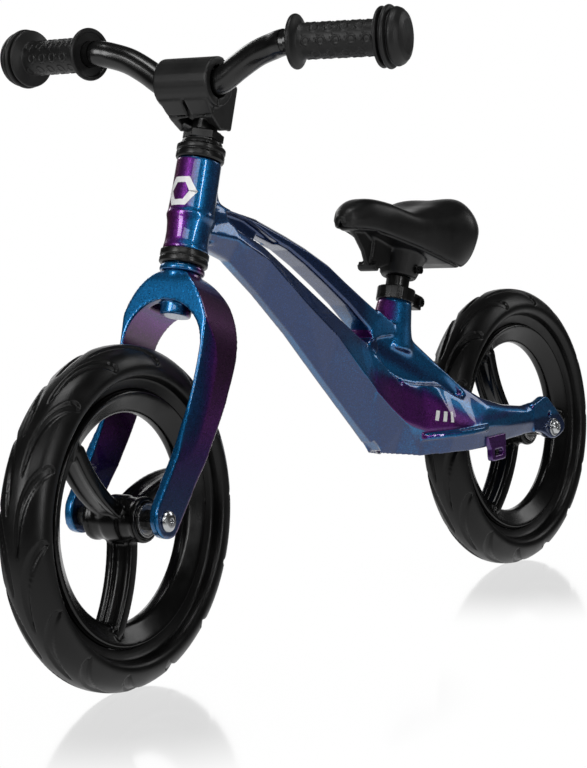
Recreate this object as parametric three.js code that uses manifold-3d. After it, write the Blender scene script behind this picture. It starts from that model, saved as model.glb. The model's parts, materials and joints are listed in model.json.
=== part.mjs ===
// A child's balance bike: cast frame and fork, foam tyres, adjustable saddle and handlebar.
// Millimetres, +Z up, +X forward, +Y to the rider's left.
// The origin is on the ground, midway between the two axles, on the frame's centre plane.
import * as THREE from 'three';
import { mergeVertices } from 'three/addons/utils/BufferGeometryUtils.js';
import { ConvexGeometry } from 'three/addons/geometries/ConvexGeometry.js';
import Module from 'manifold-3d';

const wasm = await Module();
wasm.setup();

// ---- driving dimensions ----
const GAP = 0.3;                       // clearance kept between neighbouring pieces
const WHEELBASE = 618;
const TYRE_RADIUS = 140;
const TYRE_HALF_WIDTH = 22.7;
const HEAD_LEAN = THREE.MathUtils.degToRad(19.6);
const SEAT_LEAN = THREE.MathUtils.degToRad(20);
const FORK_RAKE = 30;                  // axle's distance in front of the steering axis
const REST_STEER = THREE.MathUtils.degToRad(4);

const AXLE_RADIUS = 5.7;
const BEARING_BORE = 6.0;
const BEARING_OUTER = 14;
const BEARING_WIDTH = 8;
const HUB_HALF = 25.6;
const BOLT_RADIUS = 3;
const FRONT_DROPOUT_INNER = 38.4;
const FRONT_DROPOUT_OUTER = 46;
const REAR_DROPOUT_INNER = 44;
const REAR_DROPOUT_OUTER = 52.5;

const STEERER_RADIUS = 12.7;
const STEERER_BORE = 11.5;
const STEERER_TOP = 334;
const CROWN_SEAT = 212;                // flat on top of the crown, along the steering axis
const CROWN_FRONT = 17.5;
const STEERER_FOOT = 177;
const BLADE_CREASE = -6;
const BLADE_BEVEL = 9;
const HEAD_BOTTOM = 231;
const HEAD_TOP = 310;
const HEAD_RADIUS = 18.4;
const HEAD_BORE = 16.6;
const RACE_BORE = 13.2;                // rings that slip over the steerer

const BAR_RADIUS = 11.1;
const BAR_X = 27;                      // centre of the bar in the stem clamp
const BAR_Z = 369;
const GRIP_INNER = new THREE.Vector3(38.4, 105.5, 396.8);
const GRIP_OUTER = new THREE.Vector3(25.4, 182, 401.4);

const POST_RADIUS = 11.1;
const SEAT_TUBE_TOP = new THREE.Vector3(-114.7, 0, 293.2);
const SEAT_TUBE_RADIUS = 15.4;
const SEAT_TUBE_DEPTH = 126;

// ---- finishes ----
const finish = (color, roughness, metalness) =>
  new THREE.MeshStandardMaterial({ color, roughness, metalness });
const PAINT = finish(0x1f4a7a, 0.28, 0.6);
const BLACK_METAL = finish(0x101012, 0.3, 0.5);
const STEEL = finish(0xb9bcc0, 0.3, 0.9);
const RUBBER = finish(0x1c1c1d, 0.75, 0);
const FOAM = finish(0x242425, 0.85, 0);
const PLASTIC = finish(0x17171a, 0.5, 0);
const CUSHION = finish(0x141416, 0.55, 0);

// ---- solids and booleans ----
function solid(geometry) {
  const bare = geometry.clone();
  bare.deleteAttribute('normal');
  bare.deleteAttribute('uv');
  const merged = mergeVertices(bare, 1e-4);
  const mesh = new wasm.Mesh({
    numProp: 3,
    vertProperties: new Float32Array(merged.attributes.position.array),
    triVerts: new Uint32Array(merged.index.array),
  });
  return new wasm.Manifold(mesh);
}

function geometryOf(body) {
  const mesh = body.getMesh();
  const geometry = new THREE.BufferGeometry();
  geometry.setAttribute('position', new THREE.BufferAttribute(new Float32Array(mesh.vertProperties), 3));
  geometry.setIndex(new THREE.BufferAttribute(new Uint32Array(mesh.triVerts), 1));
  geometry.computeVertexNormals();
  return geometry;
}

const union = (pieces) => pieces.map(solid).reduce((all, next) => all.add(next));
const cut = (body, tools) => tools.map(solid).reduce((left, tool) => left.subtract(tool), body);

// ---- geometry helpers ----
function cylinderZ(radius, low, high, segments = 16) {
  return new THREE.CylinderGeometry(radius, radius, high - low, segments)
    .rotateX(Math.PI / 2).translate(0, 0, (low + high) / 2);
}

function cylinderY(radius, low, high, segments = 16) {
  return new THREE.CylinderGeometry(radius, radius, high - low, segments).translate(0, (low + high) / 2, 0);
}

// A ring about Y (or Z) from a closed profile of [radius, height] pairs.
function ringY(profile, segments) {
  const points = profile.map(([radius, height]) => new THREE.Vector2(radius, height));
  if (THREE.ShapeUtils.area(points) < 0) points.reverse();
  points.push(points[0].clone());
  return new THREE.LatheGeometry(points, segments);
}

const ringZ = (profile, segments) => ringY(profile, segments).rotateX(Math.PI / 2);

// A plain tube about Z or Y.
const tubeZ = (inner, outer, low, high, segments = 14) =>
  ringZ([[inner, low], [outer, low], [outer, high], [inner, high]], segments);
const tubeY = (inner, outer, low, high, segments = 14) =>
  ringY([[inner, low], [outer, low], [outer, high], [inner, high]], segments);

// An outline in the X-Z plane, extruded across Y from low to high.
function plateXZ(shape, low, high, curveSegments = 4) {
  const outline = Array.isArray(shape) ? new THREE.Shape(shape.map((p) => new THREE.Vector2(...p))) : shape;
  return new THREE.ExtrudeGeometry(outline, { depth: high - low, bevelEnabled: false, curveSegments })
    .rotateX(Math.PI / 2).translate(0, high, 0);
}

// An outline in the Y-Z plane, extruded along X from low to high.
function plateYZ(shape, low, high, curveSegments = 8) {
  return new THREE.ExtrudeGeometry(shape, { depth: high - low, bevelEnabled: false, curveSegments })
    .rotateX(Math.PI / 2).rotateZ(Math.PI / 2).translate(low, 0, 0);
}

// An outline in the X-Y plane, extruded up Z from low to high.
function plateXY(points, low, high) {
  const outline = new THREE.Shape(points.map((p) => new THREE.Vector2(...p)));
  return new THREE.ExtrudeGeometry(outline, { depth: high - low, bevelEnabled: false })
    .translate(0, 0, low);
}

// A body lofted through cross-sections: one convex solid between each neighbouring pair.
function loft(sections) {
  return sections.slice(1).map((section, i) => new ConvexGeometry([...sections[i], ...section]));
}

// A cross-section at x that is mirrored across Y, from [half width, height] pairs.
function mirrored(x, pairs) {
  return pairs.flatMap(([half, z]) => [new THREE.Vector3(x, half, z), new THREE.Vector3(x, -half, z)]);
}

const root = new THREE.Group();

function place(name, geometry, material, parent) {
  const mesh = new THREE.Mesh(geometry, material);
  mesh.name = name;
  parent.add(mesh);
  return mesh;
}

// Axis frames: local Z runs up each leaning axis, local Y stays the bike's left.
function leaningGroup(x, z, lean, parent, steer = 0) {
  const group = new THREE.Group();
  group.position.set(x, 0, z);
  group.rotation.set(0, -lean, steer, 'YXZ');
  parent.add(group);
  return group;
}

const frontAxleX = WHEELBASE / 2;
const steerBaseX = frontAxleX - FORK_RAKE * Math.cos(HEAD_LEAN);
const steerBaseZ = TYRE_RADIUS - FORK_RAKE * Math.sin(HEAD_LEAN);
const headGroup = leaningGroup(steerBaseX, steerBaseZ, HEAD_LEAN, root);
const steering = leaningGroup(steerBaseX, steerBaseZ, HEAD_LEAN, root, REST_STEER);
const seatGroup = leaningGroup(SEAT_TUBE_TOP.x, SEAT_TUBE_TOP.z, SEAT_LEAN, root);

// Brings a geometry drawn along a leaning axis into the bike's own frame.
const fromHead = (geometry) => geometry.rotateY(-HEAD_LEAN).translate(steerBaseX, 0, steerBaseZ);
const fromSeat = (geometry) =>
  geometry.rotateY(-SEAT_LEAN).translate(SEAT_TUBE_TOP.x, 0, SEAT_TUBE_TOP.z);

// ---- frame: one casting ----
function frameBody() {
  // Beam: a narrow keel below, widest at the shoulder, a flat floor under the slot.
  const beamSection = (x, keel, shoulder, floor, keelHalf, shoulderHalf, floorHalf) =>
    mirrored(x, [[keelHalf, keel], [shoulderHalf, shoulder], [floorHalf, floor]]);
  const beam = loft([
    beamSection(186, 351, 362, 372, 6, 15, 12),
    beamSection(150, 337, 355, 367, 5, 17.5, 13),
    beamSection(110, 305.8, 334.5, 347, 4.8, 19.5, 13),
    beamSection(65, 266.6, 297.6, 317.8, 4.8, 20.5, 13),
    beamSection(17, 219.8, 262, 286.3, 4.8, 21, 13),
    beamSection(-28, 177, 218, 257, 5, 22, 13),
    beamSection(-52, 155, 195, 243, 6, 23, 14),
  ]);
  // Upper bar: a slim arch from the head to the seat tube.
  const barSection = (x, top, bottom, half) =>
    mirrored(x, [[half - 4, top], [half, top - 4], [half, bottom + 2], [half - 2, bottom]]);
  const upperBar = loft([
    barSection(176, 386, 366, 13),
    barSection(150, 380.5, 364, 12),
    barSection(113, 371, 358.5, 11.5),
    barSection(70, 354, 341.5, 11.5),
    barSection(42, 342, 325.5, 11.5),
    barSection(9, 325.5, 304, 11.5),
    barSection(-17, 308, 286, 12),
    barSection(-60, 280.5, 251, 13),
    barSection(-85, 265, 215, 14),
  ]);
  // Tail: top ridge, shoulder, foot-ledge line and belly, spreading to the two stays.
  const tailSection = (x, rows) => mirrored(x, rows);
  const tail = loft([
    tailSection(-40, [[8, 250], [15, 244], [22.6, 205], [5, 166]]),
    tailSection(-64, [[12, 279], [15, 260], [23.7, 185], [7, 143.5]]),
    tailSection(-80, [[14, 267.5], [19, 240], [25, 173], [11, 141]]),
    tailSection(-106, [[16, 251.5], [24, 215], [31, 163], [24, 136.5]]),
    tailSection(-137, [[22, 226.5], [33, 195], [46, 162], [36, 135.5]]),
    tailSection(-168, [[33, 198], [42, 180], [51, 158], [43, 134.5]]),
    tailSection(-191, [[42, 183], [49, 174], [52, 156], [47, 135]]),
    tailSection(-225, [[45, 172.5], [50.5, 166], [51.5, 152], [48, 137.5]]),
    tailSection(-262, [[46, 167], [51.5, 161], [52, 150], [49, 139]]),
    tailSection(-282, [[47, 169], [52, 164], [52.4, 148], [50, 138.5]]),
  ]);
  // Foot ledges: shallow shelves that stand out along the tail.
  const ledge = (side) => plateXY([
    [-100, 20 * side], [-104, 32 * side], [-118, 43.5 * side], [-135, 52.5 * side],
    [-152, 56.5 * side], [-170, 57 * side], [-184, 53.5 * side], [-190, 40 * side],
  ], 151.5, 157.5);
  // Dropout plates with a hump above the axle.
  const rearAxleX = -WHEELBASE / 2;
  const dropoutOutline = new THREE.Shape();
  dropoutOutline.moveTo(-272, 139.5);
  dropoutOutline.lineTo(-272, 167);
  dropoutOutline.quadraticCurveTo(-284, 169, -292, 172);
  dropoutOutline.quadraticCurveTo(-299, 174, -305, 168.5);
  dropoutOutline.lineTo(-318, 157.5);
  dropoutOutline.lineTo(-331, 146);
  dropoutOutline.quadraticCurveTo(-337, 139, -331, 133.5);
  dropoutOutline.quadraticCurveTo(-312, 124, -299, 131.5);
  dropoutOutline.quadraticCurveTo(-290, 138, -272, 139.5);
  const dropout = (side) => {
    const low = side > 0 ? REAR_DROPOUT_INNER : -REAR_DROPOUT_OUTER;
    return plateXZ(dropoutOutline, low, low + REAR_DROPOUT_OUTER - REAR_DROPOUT_INNER);
  };
  const headTube = fromHead(cylinderZ(HEAD_RADIUS, HEAD_BOTTOM, HEAD_TOP, 24));
  const seatTube = fromSeat(cylinderZ(SEAT_TUBE_RADIUS, -70, 0, 20));
  const seatFlare = fromSeat(new THREE.CylinderGeometry(SEAT_TUBE_RADIUS, 21, 28, 20).rotateX(Math.PI / 2)
    .translate(0, 0, -40));
  const seatFoot = fromSeat(cylinderZ(17, -SEAT_TUBE_DEPTH - 4, -50, 20));
  const headGusset = new ConvexGeometry([
    ...mirrored(192, [[11, 392], [11, 352]]),
    ...mirrored(150, [[11, 381], [12, 352]]),
  ]);
  const casting = union([
    ...beam, ...upperBar, ...tail, ledge(1), ledge(-1), dropout(1), dropout(-1),
    headTube, headGusset, seatTube, seatFlare, seatFoot,
  ]);
  // Rear wheel bay, open to the back, round in front of the tyre.
  const wheelBay = plateXY([
    [-157, 0], [-159.5, 16], [-166, 26], [-176, 29], [-240, 32], [-278, REAR_DROPOUT_INNER],
    [-360, REAR_DROPOUT_INNER], [-360, -REAR_DROPOUT_INNER], [-278, -REAR_DROPOUT_INNER],
    [-240, -32], [-176, -29], [-166, -26], [-159.5, -16],
  ], 100, 320);
  // The long slot between the upper bar and the beam, through the whole width.
  const slot = plateXZ([
    [147, 366.5], [122, 362.2], [113, 358.5], [70, 341.5], [42, 325.5], [9, 304], [-17, 286],
    [-48, 258], [-50, 250], [-40, 250.8], [-28, 257.5], [17, 286.8], [65, 318.3], [110, 347.5], [146, 362],
  ], -40, 40);
  // The belly is open below: the casting is a thin-walled shell there.
  const bellySection = (x, rows) => mirrored(x, rows);
  const belly = loft([
    bellySection(-52, [[2.5, 130], [2.5, 150], [9, 172], [9, 185]]),
    bellySection(-64, [[3, 130], [4, 150], [14, 176], [10, 200]]),
    bellySection(-80, [[6.5, 130], [7.5, 148], [17, 168], [12, 203]]),
    bellySection(-106, [[20, 125], [21, 140], [25, 162], [15, 205]]),
    bellySection(-135, [[31, 125], [33, 140], [40, 158], [20, 190]]),
    bellySection(-149, [[34, 125], [36, 140], [42, 156], [24, 185]]),
  ]);
  const groove = (side) => plateXZ(
    [[-43, 242], [-46.5, 241], [-84, 210.5], [-86.5, 206.5], [-82, 208], [-46, 238.5]],
    side > 0 ? 16.5 : -40, side > 0 ? 40 : -16.5);
  const axleHole = cylinderY(BOLT_RADIUS + GAP, -60, 60, 16).translate(rearAxleX, 0, TYRE_RADIUS);
  const smallHole = cylinderY(2.6, -60, 60, 10).translate(rearAxleX + 5.5, 0, TYRE_RADIUS + 13.5);
  const steererBore = fromHead(cylinderZ(HEAD_BORE, HEAD_BOTTOM - 5, HEAD_TOP + 5, 20));
  const cupClearance = fromHead(cylinderZ(HEAD_RADIUS + 3, HEAD_BOTTOM - 40, HEAD_BOTTOM, 20));
  const postBore = fromSeat(cylinderZ(POST_RADIUS + GAP, -SEAT_TUBE_DEPTH, 5, 20));
  const clampSlit = fromSeat(new THREE.BoxGeometry(30, 2.4, 20).translate(-22, 0, -6));
  return cut(casting, [
    wheelBay, slot, ...belly, groove(1), groove(-1), axleHole, smallHole, steererBore,
    cupClearance, postBore, clampSlit,
  ]);
}

place('frame', geometryOf(frameBody()), PAINT, root);

// Strap loop under the left stay: a square eye with rounded corners.
function strapLoop() {
  const eye = new THREE.Shape();
  eye.moveTo(-217, 134.6);
  eye.lineTo(-189.5, 134.6);
  eye.lineTo(-189.5, 125.5);
  eye.quadraticCurveTo(-189.5, 120.5, -194.5, 120.5);
  eye.lineTo(-212, 120.5);
  eye.quadraticCurveTo(-217, 120.5, -217, 125.5);
  const hole = new THREE.Path([
    new THREE.Vector2(-196, 125.4), new THREE.Vector2(-196, 131.4), new THREE.Vector2(-209, 131.4),
    new THREE.Vector2(-211, 129.4), new THREE.Vector2(-211, 125.4),
  ]);
  eye.holes.push(hole);
  return plateXZ(eye, 46, 51.5);
}
place('strap_loop', strapLoop(), PAINT, root);

// ---- headset ----
const cupProfile = (flange, base, tip, outer) =>
  [[13.4, flange], [outer, flange], [outer, base], [16.3, base], [16.3, tip], [14.8, tip], [13.4, base]];
place('lower_cup', ringZ(cupProfile(219, HEAD_BOTTOM - GAP, 243, 20.6), 20), BLACK_METAL, headGroup);
place('upper_cup', ringZ(cupProfile(323, HEAD_TOP + GAP, 298, 20.8), 20), BLACK_METAL, headGroup);
place('crown_race', tubeZ(RACE_BORE, 17.5, CROWN_SEAT + GAP, 218.6), STEEL, steering);
place('upper_cone', tubeZ(RACE_BORE, 17.6, 323.3, 326.6), BLACK_METAL, steering);
place('lock_washer', tubeZ(RACE_BORE, 15.4, 326.9, 328.2), STEEL, steering);
const locknut = cut(solid(cylinderZ(17.3, 328.5, 336, 6).rotateZ(Math.PI / 6)), [cylinderZ(RACE_BORE, 320, 340)]);
place('locknut', geometryOf(locknut), BLACK_METAL, steering);
place('lower_bearing', tubeZ(RACE_BORE, 14.3, 245, 252), STEEL, steering);
place('upper_bearing', tubeZ(RACE_BORE, 14.3, 288, 295), STEEL, steering);

// ---- fork: crown, blades and steerer in one casting ----
function forkBody() {
  const side = new THREE.Shape();
  side.moveTo(46, 3);
  side.bezierCurveTo(46, 10, 35, 38, 31, 51);
  side.bezierCurveTo(26, 67, 15, 95, 14.5, 144);
  side.bezierCurveTo(14.5, 170, CROWN_FRONT, 186, CROWN_FRONT, 199);
  side.quadraticCurveTo(CROWN_FRONT, 208, 11, 211);
  side.lineTo(11, CROWN_SEAT);
  side.lineTo(-12, CROWN_SEAT);
  side.quadraticCurveTo(-30, 206, -32.5, 185);
  side.bezierCurveTo(-34, 155, -28, 115, -22, 91);
  side.bezierCurveTo(-16, 68, -2, 38, 3.5, 22);
  side.lineTo(10.5, 3);
  side.quadraticCurveTo(14, -13.5, 28, -13.8);
  side.quadraticCurveTo(44, -13.8, 46, 3);
  // Front view: an arch over the tyre, a little narrower at the top of the blades.
  const arch = new THREE.Shape();
  arch.moveTo(FRONT_DROPOUT_OUTER, -20);
  arch.lineTo(FRONT_DROPOUT_OUTER, 140);
  arch.bezierCurveTo(FRONT_DROPOUT_OUTER, 178, 28, 205, 14, CROWN_SEAT);
  arch.lineTo(-14, CROWN_SEAT);
  arch.bezierCurveTo(-28, 205, -FRONT_DROPOUT_OUTER, 178, -FRONT_DROPOUT_OUTER, 140);
  arch.lineTo(-FRONT_DROPOUT_OUTER, -20);
  arch.lineTo(-FRONT_DROPOUT_INNER, -20);
  arch.lineTo(-FRONT_DROPOUT_INNER, 148);
  arch.absarc(0, 148, FRONT_DROPOUT_INNER, Math.PI, 0, true);
  arch.lineTo(FRONT_DROPOUT_INNER, -20);
  const blades = solid(plateXZ(side, -60, 60, 5)).intersect(solid(plateYZ(arch, -60, 60, 8)));
  // Each blade's outer face breaks along a crease; the bevel ahead of it fades out above the dropout.
  const bevelRows = [[50, 0.1], [92, -BLADE_BEVEL], [205, -BLADE_BEVEL]];
  const bevel = (sign) => new ConvexGeometry(bevelRows.flatMap(([z, depth]) => [
    new THREE.Vector3(BLADE_CREASE, sign * (FRONT_DROPOUT_OUTER + 1), z),
    new THREE.Vector3(40, sign * (FRONT_DROPOUT_OUTER + 1), z),
    new THREE.Vector3(40, sign * (FRONT_DROPOUT_OUTER + depth), z),
    new THREE.Vector3(BLADE_CREASE, sign * (FRONT_DROPOUT_OUTER + 0.1), z),
  ]));
  const crownSeat = cylinderZ(17, 203, CROWN_SEAT, 20);
  const steererFoot = cylinderZ(13.2, STEERER_FOOT, 200, 20);
  const steerer = cylinderZ(STEERER_RADIUS, 200, STEERER_TOP, 20);
  const axleHole = cylinderY(BOLT_RADIUS + GAP, -60, 60, 16).translate(FORK_RAKE, 0, 0);
  const joined = [crownSeat, steererFoot, steerer].map(solid)
    .reduce((all, next) => all.add(next), cut(blades, [bevel(1), bevel(-1)]));
  return cut(joined, [axleHole, cylinderZ(STEERER_BORE, 216, STEERER_TOP + 5, 20)]);
}
place('fork', geometryOf(forkBody()), PAINT, steering);

// ---- wheels ----
const TYRE_SEGMENTS = 32;
const SPOKE_SWIRL = THREE.MathUtils.degToRad(17);

function tyreGeometry() {
  const half = [
    [138.6, 9], [133.5, 16.4], [123.5, TYRE_HALF_WIDTH], [116.6, 21.4], [112.6, 12], [105, 9.3],
  ];
  const mirroredHalf = half.map(([r, y]) => [r, -y]).reverse();
  return ringY([...mirroredHalf, [TYRE_RADIUS, 0], ...half], TYRE_SEGMENTS);
}

// A curved spoke band: tangential half width about a line that swirls from hub to rim.
function spokeBand(angle, inner, outer, halfWidth, offset) {
  const steps = 4;
  const at = (r, shift) => {
    const theta = angle - SPOKE_SWIRL * (1 - (r - 18) / 78);
    const c = Math.cos(theta);
    const s = Math.sin(theta);
    return [r * c - shift * s, r * s + shift * c];
  };
  const along = Array.from({ length: steps + 1 }, (_, i) => inner + (outer - inner) * i / steps);
  const left = along.map((r) => at(r, offset + halfWidth));
  const right = along.map((r) => at(r, offset - halfWidth)).reverse();
  return [...left, at(outer + halfWidth * 0.7, offset), ...right];
}

function wheelCasting(firstSpoke) {
  const rimHalf = [[104.6, 8.8], [103.6, 13], [102, 14.1], [87, 5.6], [85.3, 3.6]];
  const rim = ringY([...rimHalf.map(([r, y]) => [r, -y]).reverse(), ...rimHalf], TYRE_SEGMENTS);
  const hubHalf = [
    [9, 17.2], [BEARING_OUTER + GAP, 17.2], [BEARING_OUTER + GAP, HUB_HALF], [18.6, HUB_HALF], [19.6, 8],
  ];
  const hub = ringY([...hubHalf, ...hubHalf.map(([r, y]) => [r, -y]).reverse()], 16);
  const spokes = [0, 1, 2].flatMap((i) => {
    const angle = firstSpoke + i * 2 * Math.PI / 3;
    return [
      plateXZ(spokeBand(angle, 13.5, 93, 5.6, 0), 5, 12.8),
      plateXZ(spokeBand(angle, 13.5, 93, 5.6, 0), -12.8, -5),
      plateXZ(spokeBand(angle, 13, 86.4, 2.2, -1.6), -6, 6),
    ];
  });
  const bore = cylinderY(9, -HUB_HALF, HUB_HALF);
  return cut(union([rim, hub, ...spokes]), [bore]);
}

function wheel(end, group, dropoutInner, firstSpoke) {
  place(`${end}_tyre`, tyreGeometry(), FOAM, group);
  place(`${end}_wheel`, geometryOf(wheelCasting(firstSpoke)), BLACK_METAL, group);
  place(`${end}_hub_sleeve`, tubeY(BEARING_BORE, 8.2, -17, 17, 12), STEEL, group);
  place(`${end}_axle`, tubeY(BOLT_RADIUS + GAP, AXLE_RADIUS, GAP - dropoutInner, dropoutInner - GAP, 12),
    STEEL, group);
  for (const [side, sign] of [['left', 1], ['right', -1]]) {
    const between = (a, b) => (sign > 0 ? [a, b] : [-b, -a]);
    place(`${end}_bearing_${side}`,
      tubeY(BEARING_BORE, BEARING_OUTER, ...between(17.5, 17.5 + BEARING_WIDTH), 20), STEEL, group);
    place(`${end}_spacer_${side}`,
      tubeY(BEARING_BORE, 8.4, ...between(HUB_HALF + 2 * GAP, dropoutInner - GAP), 12), BLACK_METAL, group);
  }
}

// A button-head axle bolt whose shank reaches into the axle.
function axleBolt(headFace, headRadius, headDepth, sign) {
  const profile = [
    [0, headFace - 30], [BOLT_RADIUS, headFace - 30], [BOLT_RADIUS, headFace], [headRadius, headFace],
    [headRadius, headFace + headDepth * 0.35], [headRadius * 0.72, headFace + headDepth],
    [3, headFace + headDepth], [2.6, headFace + headDepth - 1.8], [0, headFace + headDepth - 1.8],
  ];
  const points = profile.map(([r, y]) => new THREE.Vector2(r, y));
  const bolt = new THREE.LatheGeometry(points, 12);
  return sign > 0 ? bolt : bolt.rotateX(Math.PI);
}

const frontWheelGroup = new THREE.Group();
frontWheelGroup.position.set(FORK_RAKE, 0, 0);
frontWheelGroup.rotation.y = HEAD_LEAN;
steering.add(frontWheelGroup);
wheel('front', frontWheelGroup, FRONT_DROPOUT_INNER, THREE.MathUtils.degToRad(46));
const rearWheelGroup = new THREE.Group();
rearWheelGroup.position.set(-WHEELBASE / 2, 0, TYRE_RADIUS);
root.add(rearWheelGroup);
wheel('rear', rearWheelGroup, REAR_DROPOUT_INNER, THREE.MathUtils.degToRad(62));
for (const [side, sign] of [['left', 1], ['right', -1]]) {
  place(`front_bolt_${side}`, axleBolt(FRONT_DROPOUT_OUTER + GAP, 8.6, 3.8, sign), STEEL, frontWheelGroup);
  const washerFace = REAR_DROPOUT_OUTER + GAP;
  const washer = sign > 0 ? [washerFace, washerFace + 2] : [-washerFace - 2, -washerFace];
  place(`rear_washer_${side}`, tubeY(BOLT_RADIUS + GAP, 8.8, ...washer), STEEL, rearWheelGroup);
  place(`rear_bolt_${side}`, axleBolt(washerFace + 2.3, 6.6, 4, sign), STEEL, rearWheelGroup);
}

// ---- stem, handlebar and pad ----
const CLAMP_RADIUS = 16.4;
const CLAMP_HALF = 17;
const QUILL_BOTTOM = 262;

function stemBody() {
  const quill = cylinderZ(BAR_RADIUS, QUILL_BOTTOM, 356);
  const clamp = cylinderY(CLAMP_RADIUS, -CLAMP_HALF, CLAMP_HALF, 20).translate(BAR_X, 0, BAR_Z);
  const neck = new ConvexGeometry([
    ...mirrored(-10, [[10, 345], [10, 358]]),
    ...mirrored(10, [[11, 345], [12, 364]]),
    ...mirrored(24, [[13, 356], [13, 382]]),
  ]);
  const barBore = cylinderY(BAR_RADIUS + 2 * GAP, -30, 30, 20).translate(BAR_X, 0, BAR_Z);
  const boltBore = cylinderZ(BOLT_RADIUS + 0.6, QUILL_BOTTOM - 5, 380, 10);
  const headPocket = cylinderZ(6.8, 352, 390, 12);
  const slit = new THREE.BoxGeometry(30, 50, 1.6).translate(BAR_X + 20, 0, BAR_Z);
  const foot = new THREE.BoxGeometry(60, 60, 40).rotateY(THREE.MathUtils.degToRad(35))
    .translate(0, 0, QUILL_BOTTOM - 18);
  return cut(union([quill, clamp, neck]), [barBore, boltBore, headPocket, slit, foot]);
}

function wedgeBody() {
  const plug = solid(cylinderZ(BAR_RADIUS, 236, 282));
  const above = new THREE.BoxGeometry(60, 60, 60).rotateY(THREE.MathUtils.degToRad(35))
    .translate(0, 0, QUILL_BOTTOM + 31.5);
  return cut(plug, [above, cylinderZ(BOLT_RADIUS + GAP, 230, 300, 10)]);
}

function stemBolt() {
  const points = [[0, 240], [BOLT_RADIUS, 240], [BOLT_RADIUS, 352 + GAP], [6, 352 + GAP], [6, 358],
    [2.6, 358], [2.6, 355], [0, 355]].map((p) => new THREE.Vector2(...p));
  return new THREE.LatheGeometry(points, 10).rotateX(Math.PI / 2);
}

// Half of the bar's centre line, from the clamp out to the grip.
function barPath() {
  const direction = GRIP_OUTER.clone().sub(GRIP_INNER).normalize();
  const end = GRIP_OUTER.clone().addScaledVector(direction, 9);
  const half = [
    new THREE.Vector3(BAR_X, 10, BAR_Z), new THREE.Vector3(BAR_X, 20, BAR_Z),
    new THREE.Vector3(BAR_X + 1, 30, BAR_Z + 2.2), new THREE.Vector3(BAR_X + 3.6, 46, BAR_Z + 12),
    new THREE.Vector3(BAR_X + 7, 64, BAR_Z + 21), new THREE.Vector3(BAR_X + 10.2, 82, BAR_Z + 25.8),
    GRIP_INNER.clone().addScaledVector(direction, -12), GRIP_INNER, end,
  ];
  const mirror = half.map((p) => new THREE.Vector3(p.x, -p.y, p.z)).reverse();
  return new THREE.CatmullRomCurve3([...mirror, new THREE.Vector3(BAR_X, 0, BAR_Z), ...half],
    false, 'centripetal');
}

function handlebar() {
  const section = new THREE.Shape().absarc(0, 0, BAR_RADIUS, 0, 2 * Math.PI, false);
  section.holes.push(new THREE.Path().absarc(0, 0, BAR_RADIUS - 2, 0, 2 * Math.PI, true));
  return new THREE.ExtrudeGeometry(section, { steps: 24, curveSegments: 5, extrudePath: barPath() });
}

function gripGeometry() {
  const length = GRIP_INNER.distanceTo(GRIP_OUTER);
  const bore = BAR_RADIUS + 2 * GAP;
  const profile = [
    [bore, -3], [22.4, -3], [22.6, 1.5], [14.9, 5.5], [14.7, length - 9], [24, length - 5.5],
    [25.8, length + 2.5], [25.4, length + 7], [21, length + 9], [20, length + 13], [12, length + 16.5],
    [0, length + 17], [0, length + 10], [bore, length + 10],
  ];
  const points = profile.map(([r, s]) => new THREE.Vector2(r, s));
  points.push(points[0].clone());
  return new THREE.LatheGeometry(points, 16);
}

function placeGrip(side, sign) {
  const mesh = place(`grip_${side}`, gripGeometry(), RUBBER, steering);
  const direction = GRIP_OUTER.clone().sub(GRIP_INNER).normalize();
  mesh.position.copy(GRIP_INNER);
  mesh.quaternion.setFromUnitVectors(new THREE.Vector3(0, 1, 0), direction);
  if (sign < 0) {
    mesh.position.y *= -1;
    mesh.quaternion.setFromUnitVectors(new THREE.Vector3(0, 1, 0), direction.setY(-direction.y));
  }
}

// The pad wraps the clamp: a round roll in front of the bar and a tapered block behind it.
const PAD_HALF = 27;
const PAD_SPLIT = 0.25;

function padSolid() {
  const roll = cylinderY(21, -PAD_HALF, PAD_HALF, 24).translate(BAR_X, 0, BAR_Z + 1.6);
  const block = new ConvexGeometry([
    ...mirrored(-15, [[15, 374], [15, 344]]),
    ...mirrored(-11, [[19.5, 379], [19.5, 340]]),
    ...mirrored(6, [[21, 384], [21, 335.5]]),
    ...mirrored(22, [[22, 386], [22, 341]]),
    ...mirrored(38, [[24, 372], [24, 351]]),
  ]);
  const cavity = [
    cylinderY(CLAMP_RADIUS + GAP, -CLAMP_HALF - GAP, CLAMP_HALF + GAP, 20).translate(BAR_X, 0, BAR_Z),
    cylinderY(BAR_RADIUS + 0.9, -18.5, 18.5).translate(BAR_X, 0, BAR_Z),
    cylinderY(BAR_RADIUS + 2.5, 18, 40).translate(BAR_X + 0.5, 0, BAR_Z + 1.4),
    cylinderY(BAR_RADIUS + 2.5, -40, -18).translate(BAR_X + 0.5, 0, BAR_Z + 1.4),
    new ConvexGeometry([
      ...mirrored(-11.6, [[11.6, 330], [11.6, 362]]),
      ...mirrored(10.5, [[12.6, 330], [12.6, 370]]),
      ...mirrored(25, [[13.6, 345], [13.6, 383]]),
    ]),
    cylinderZ(19, 320, 341, 20),
    new THREE.BoxGeometry(40, 3, 20).translate(34, 0, 342),
  ];
  return cut(union([roll, block]), cavity);
}

const padWhole = padSolid();
const SPLIT_X = BAR_X - 3;
const frontHalf = new THREE.BoxGeometry(100, 120, 140).translate(SPLIT_X + 50 + PAD_SPLIT, 0, BAR_Z);
const rearHalf = new THREE.BoxGeometry(100, 120, 140).translate(SPLIT_X - 50 - PAD_SPLIT, 0, BAR_Z);

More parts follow.
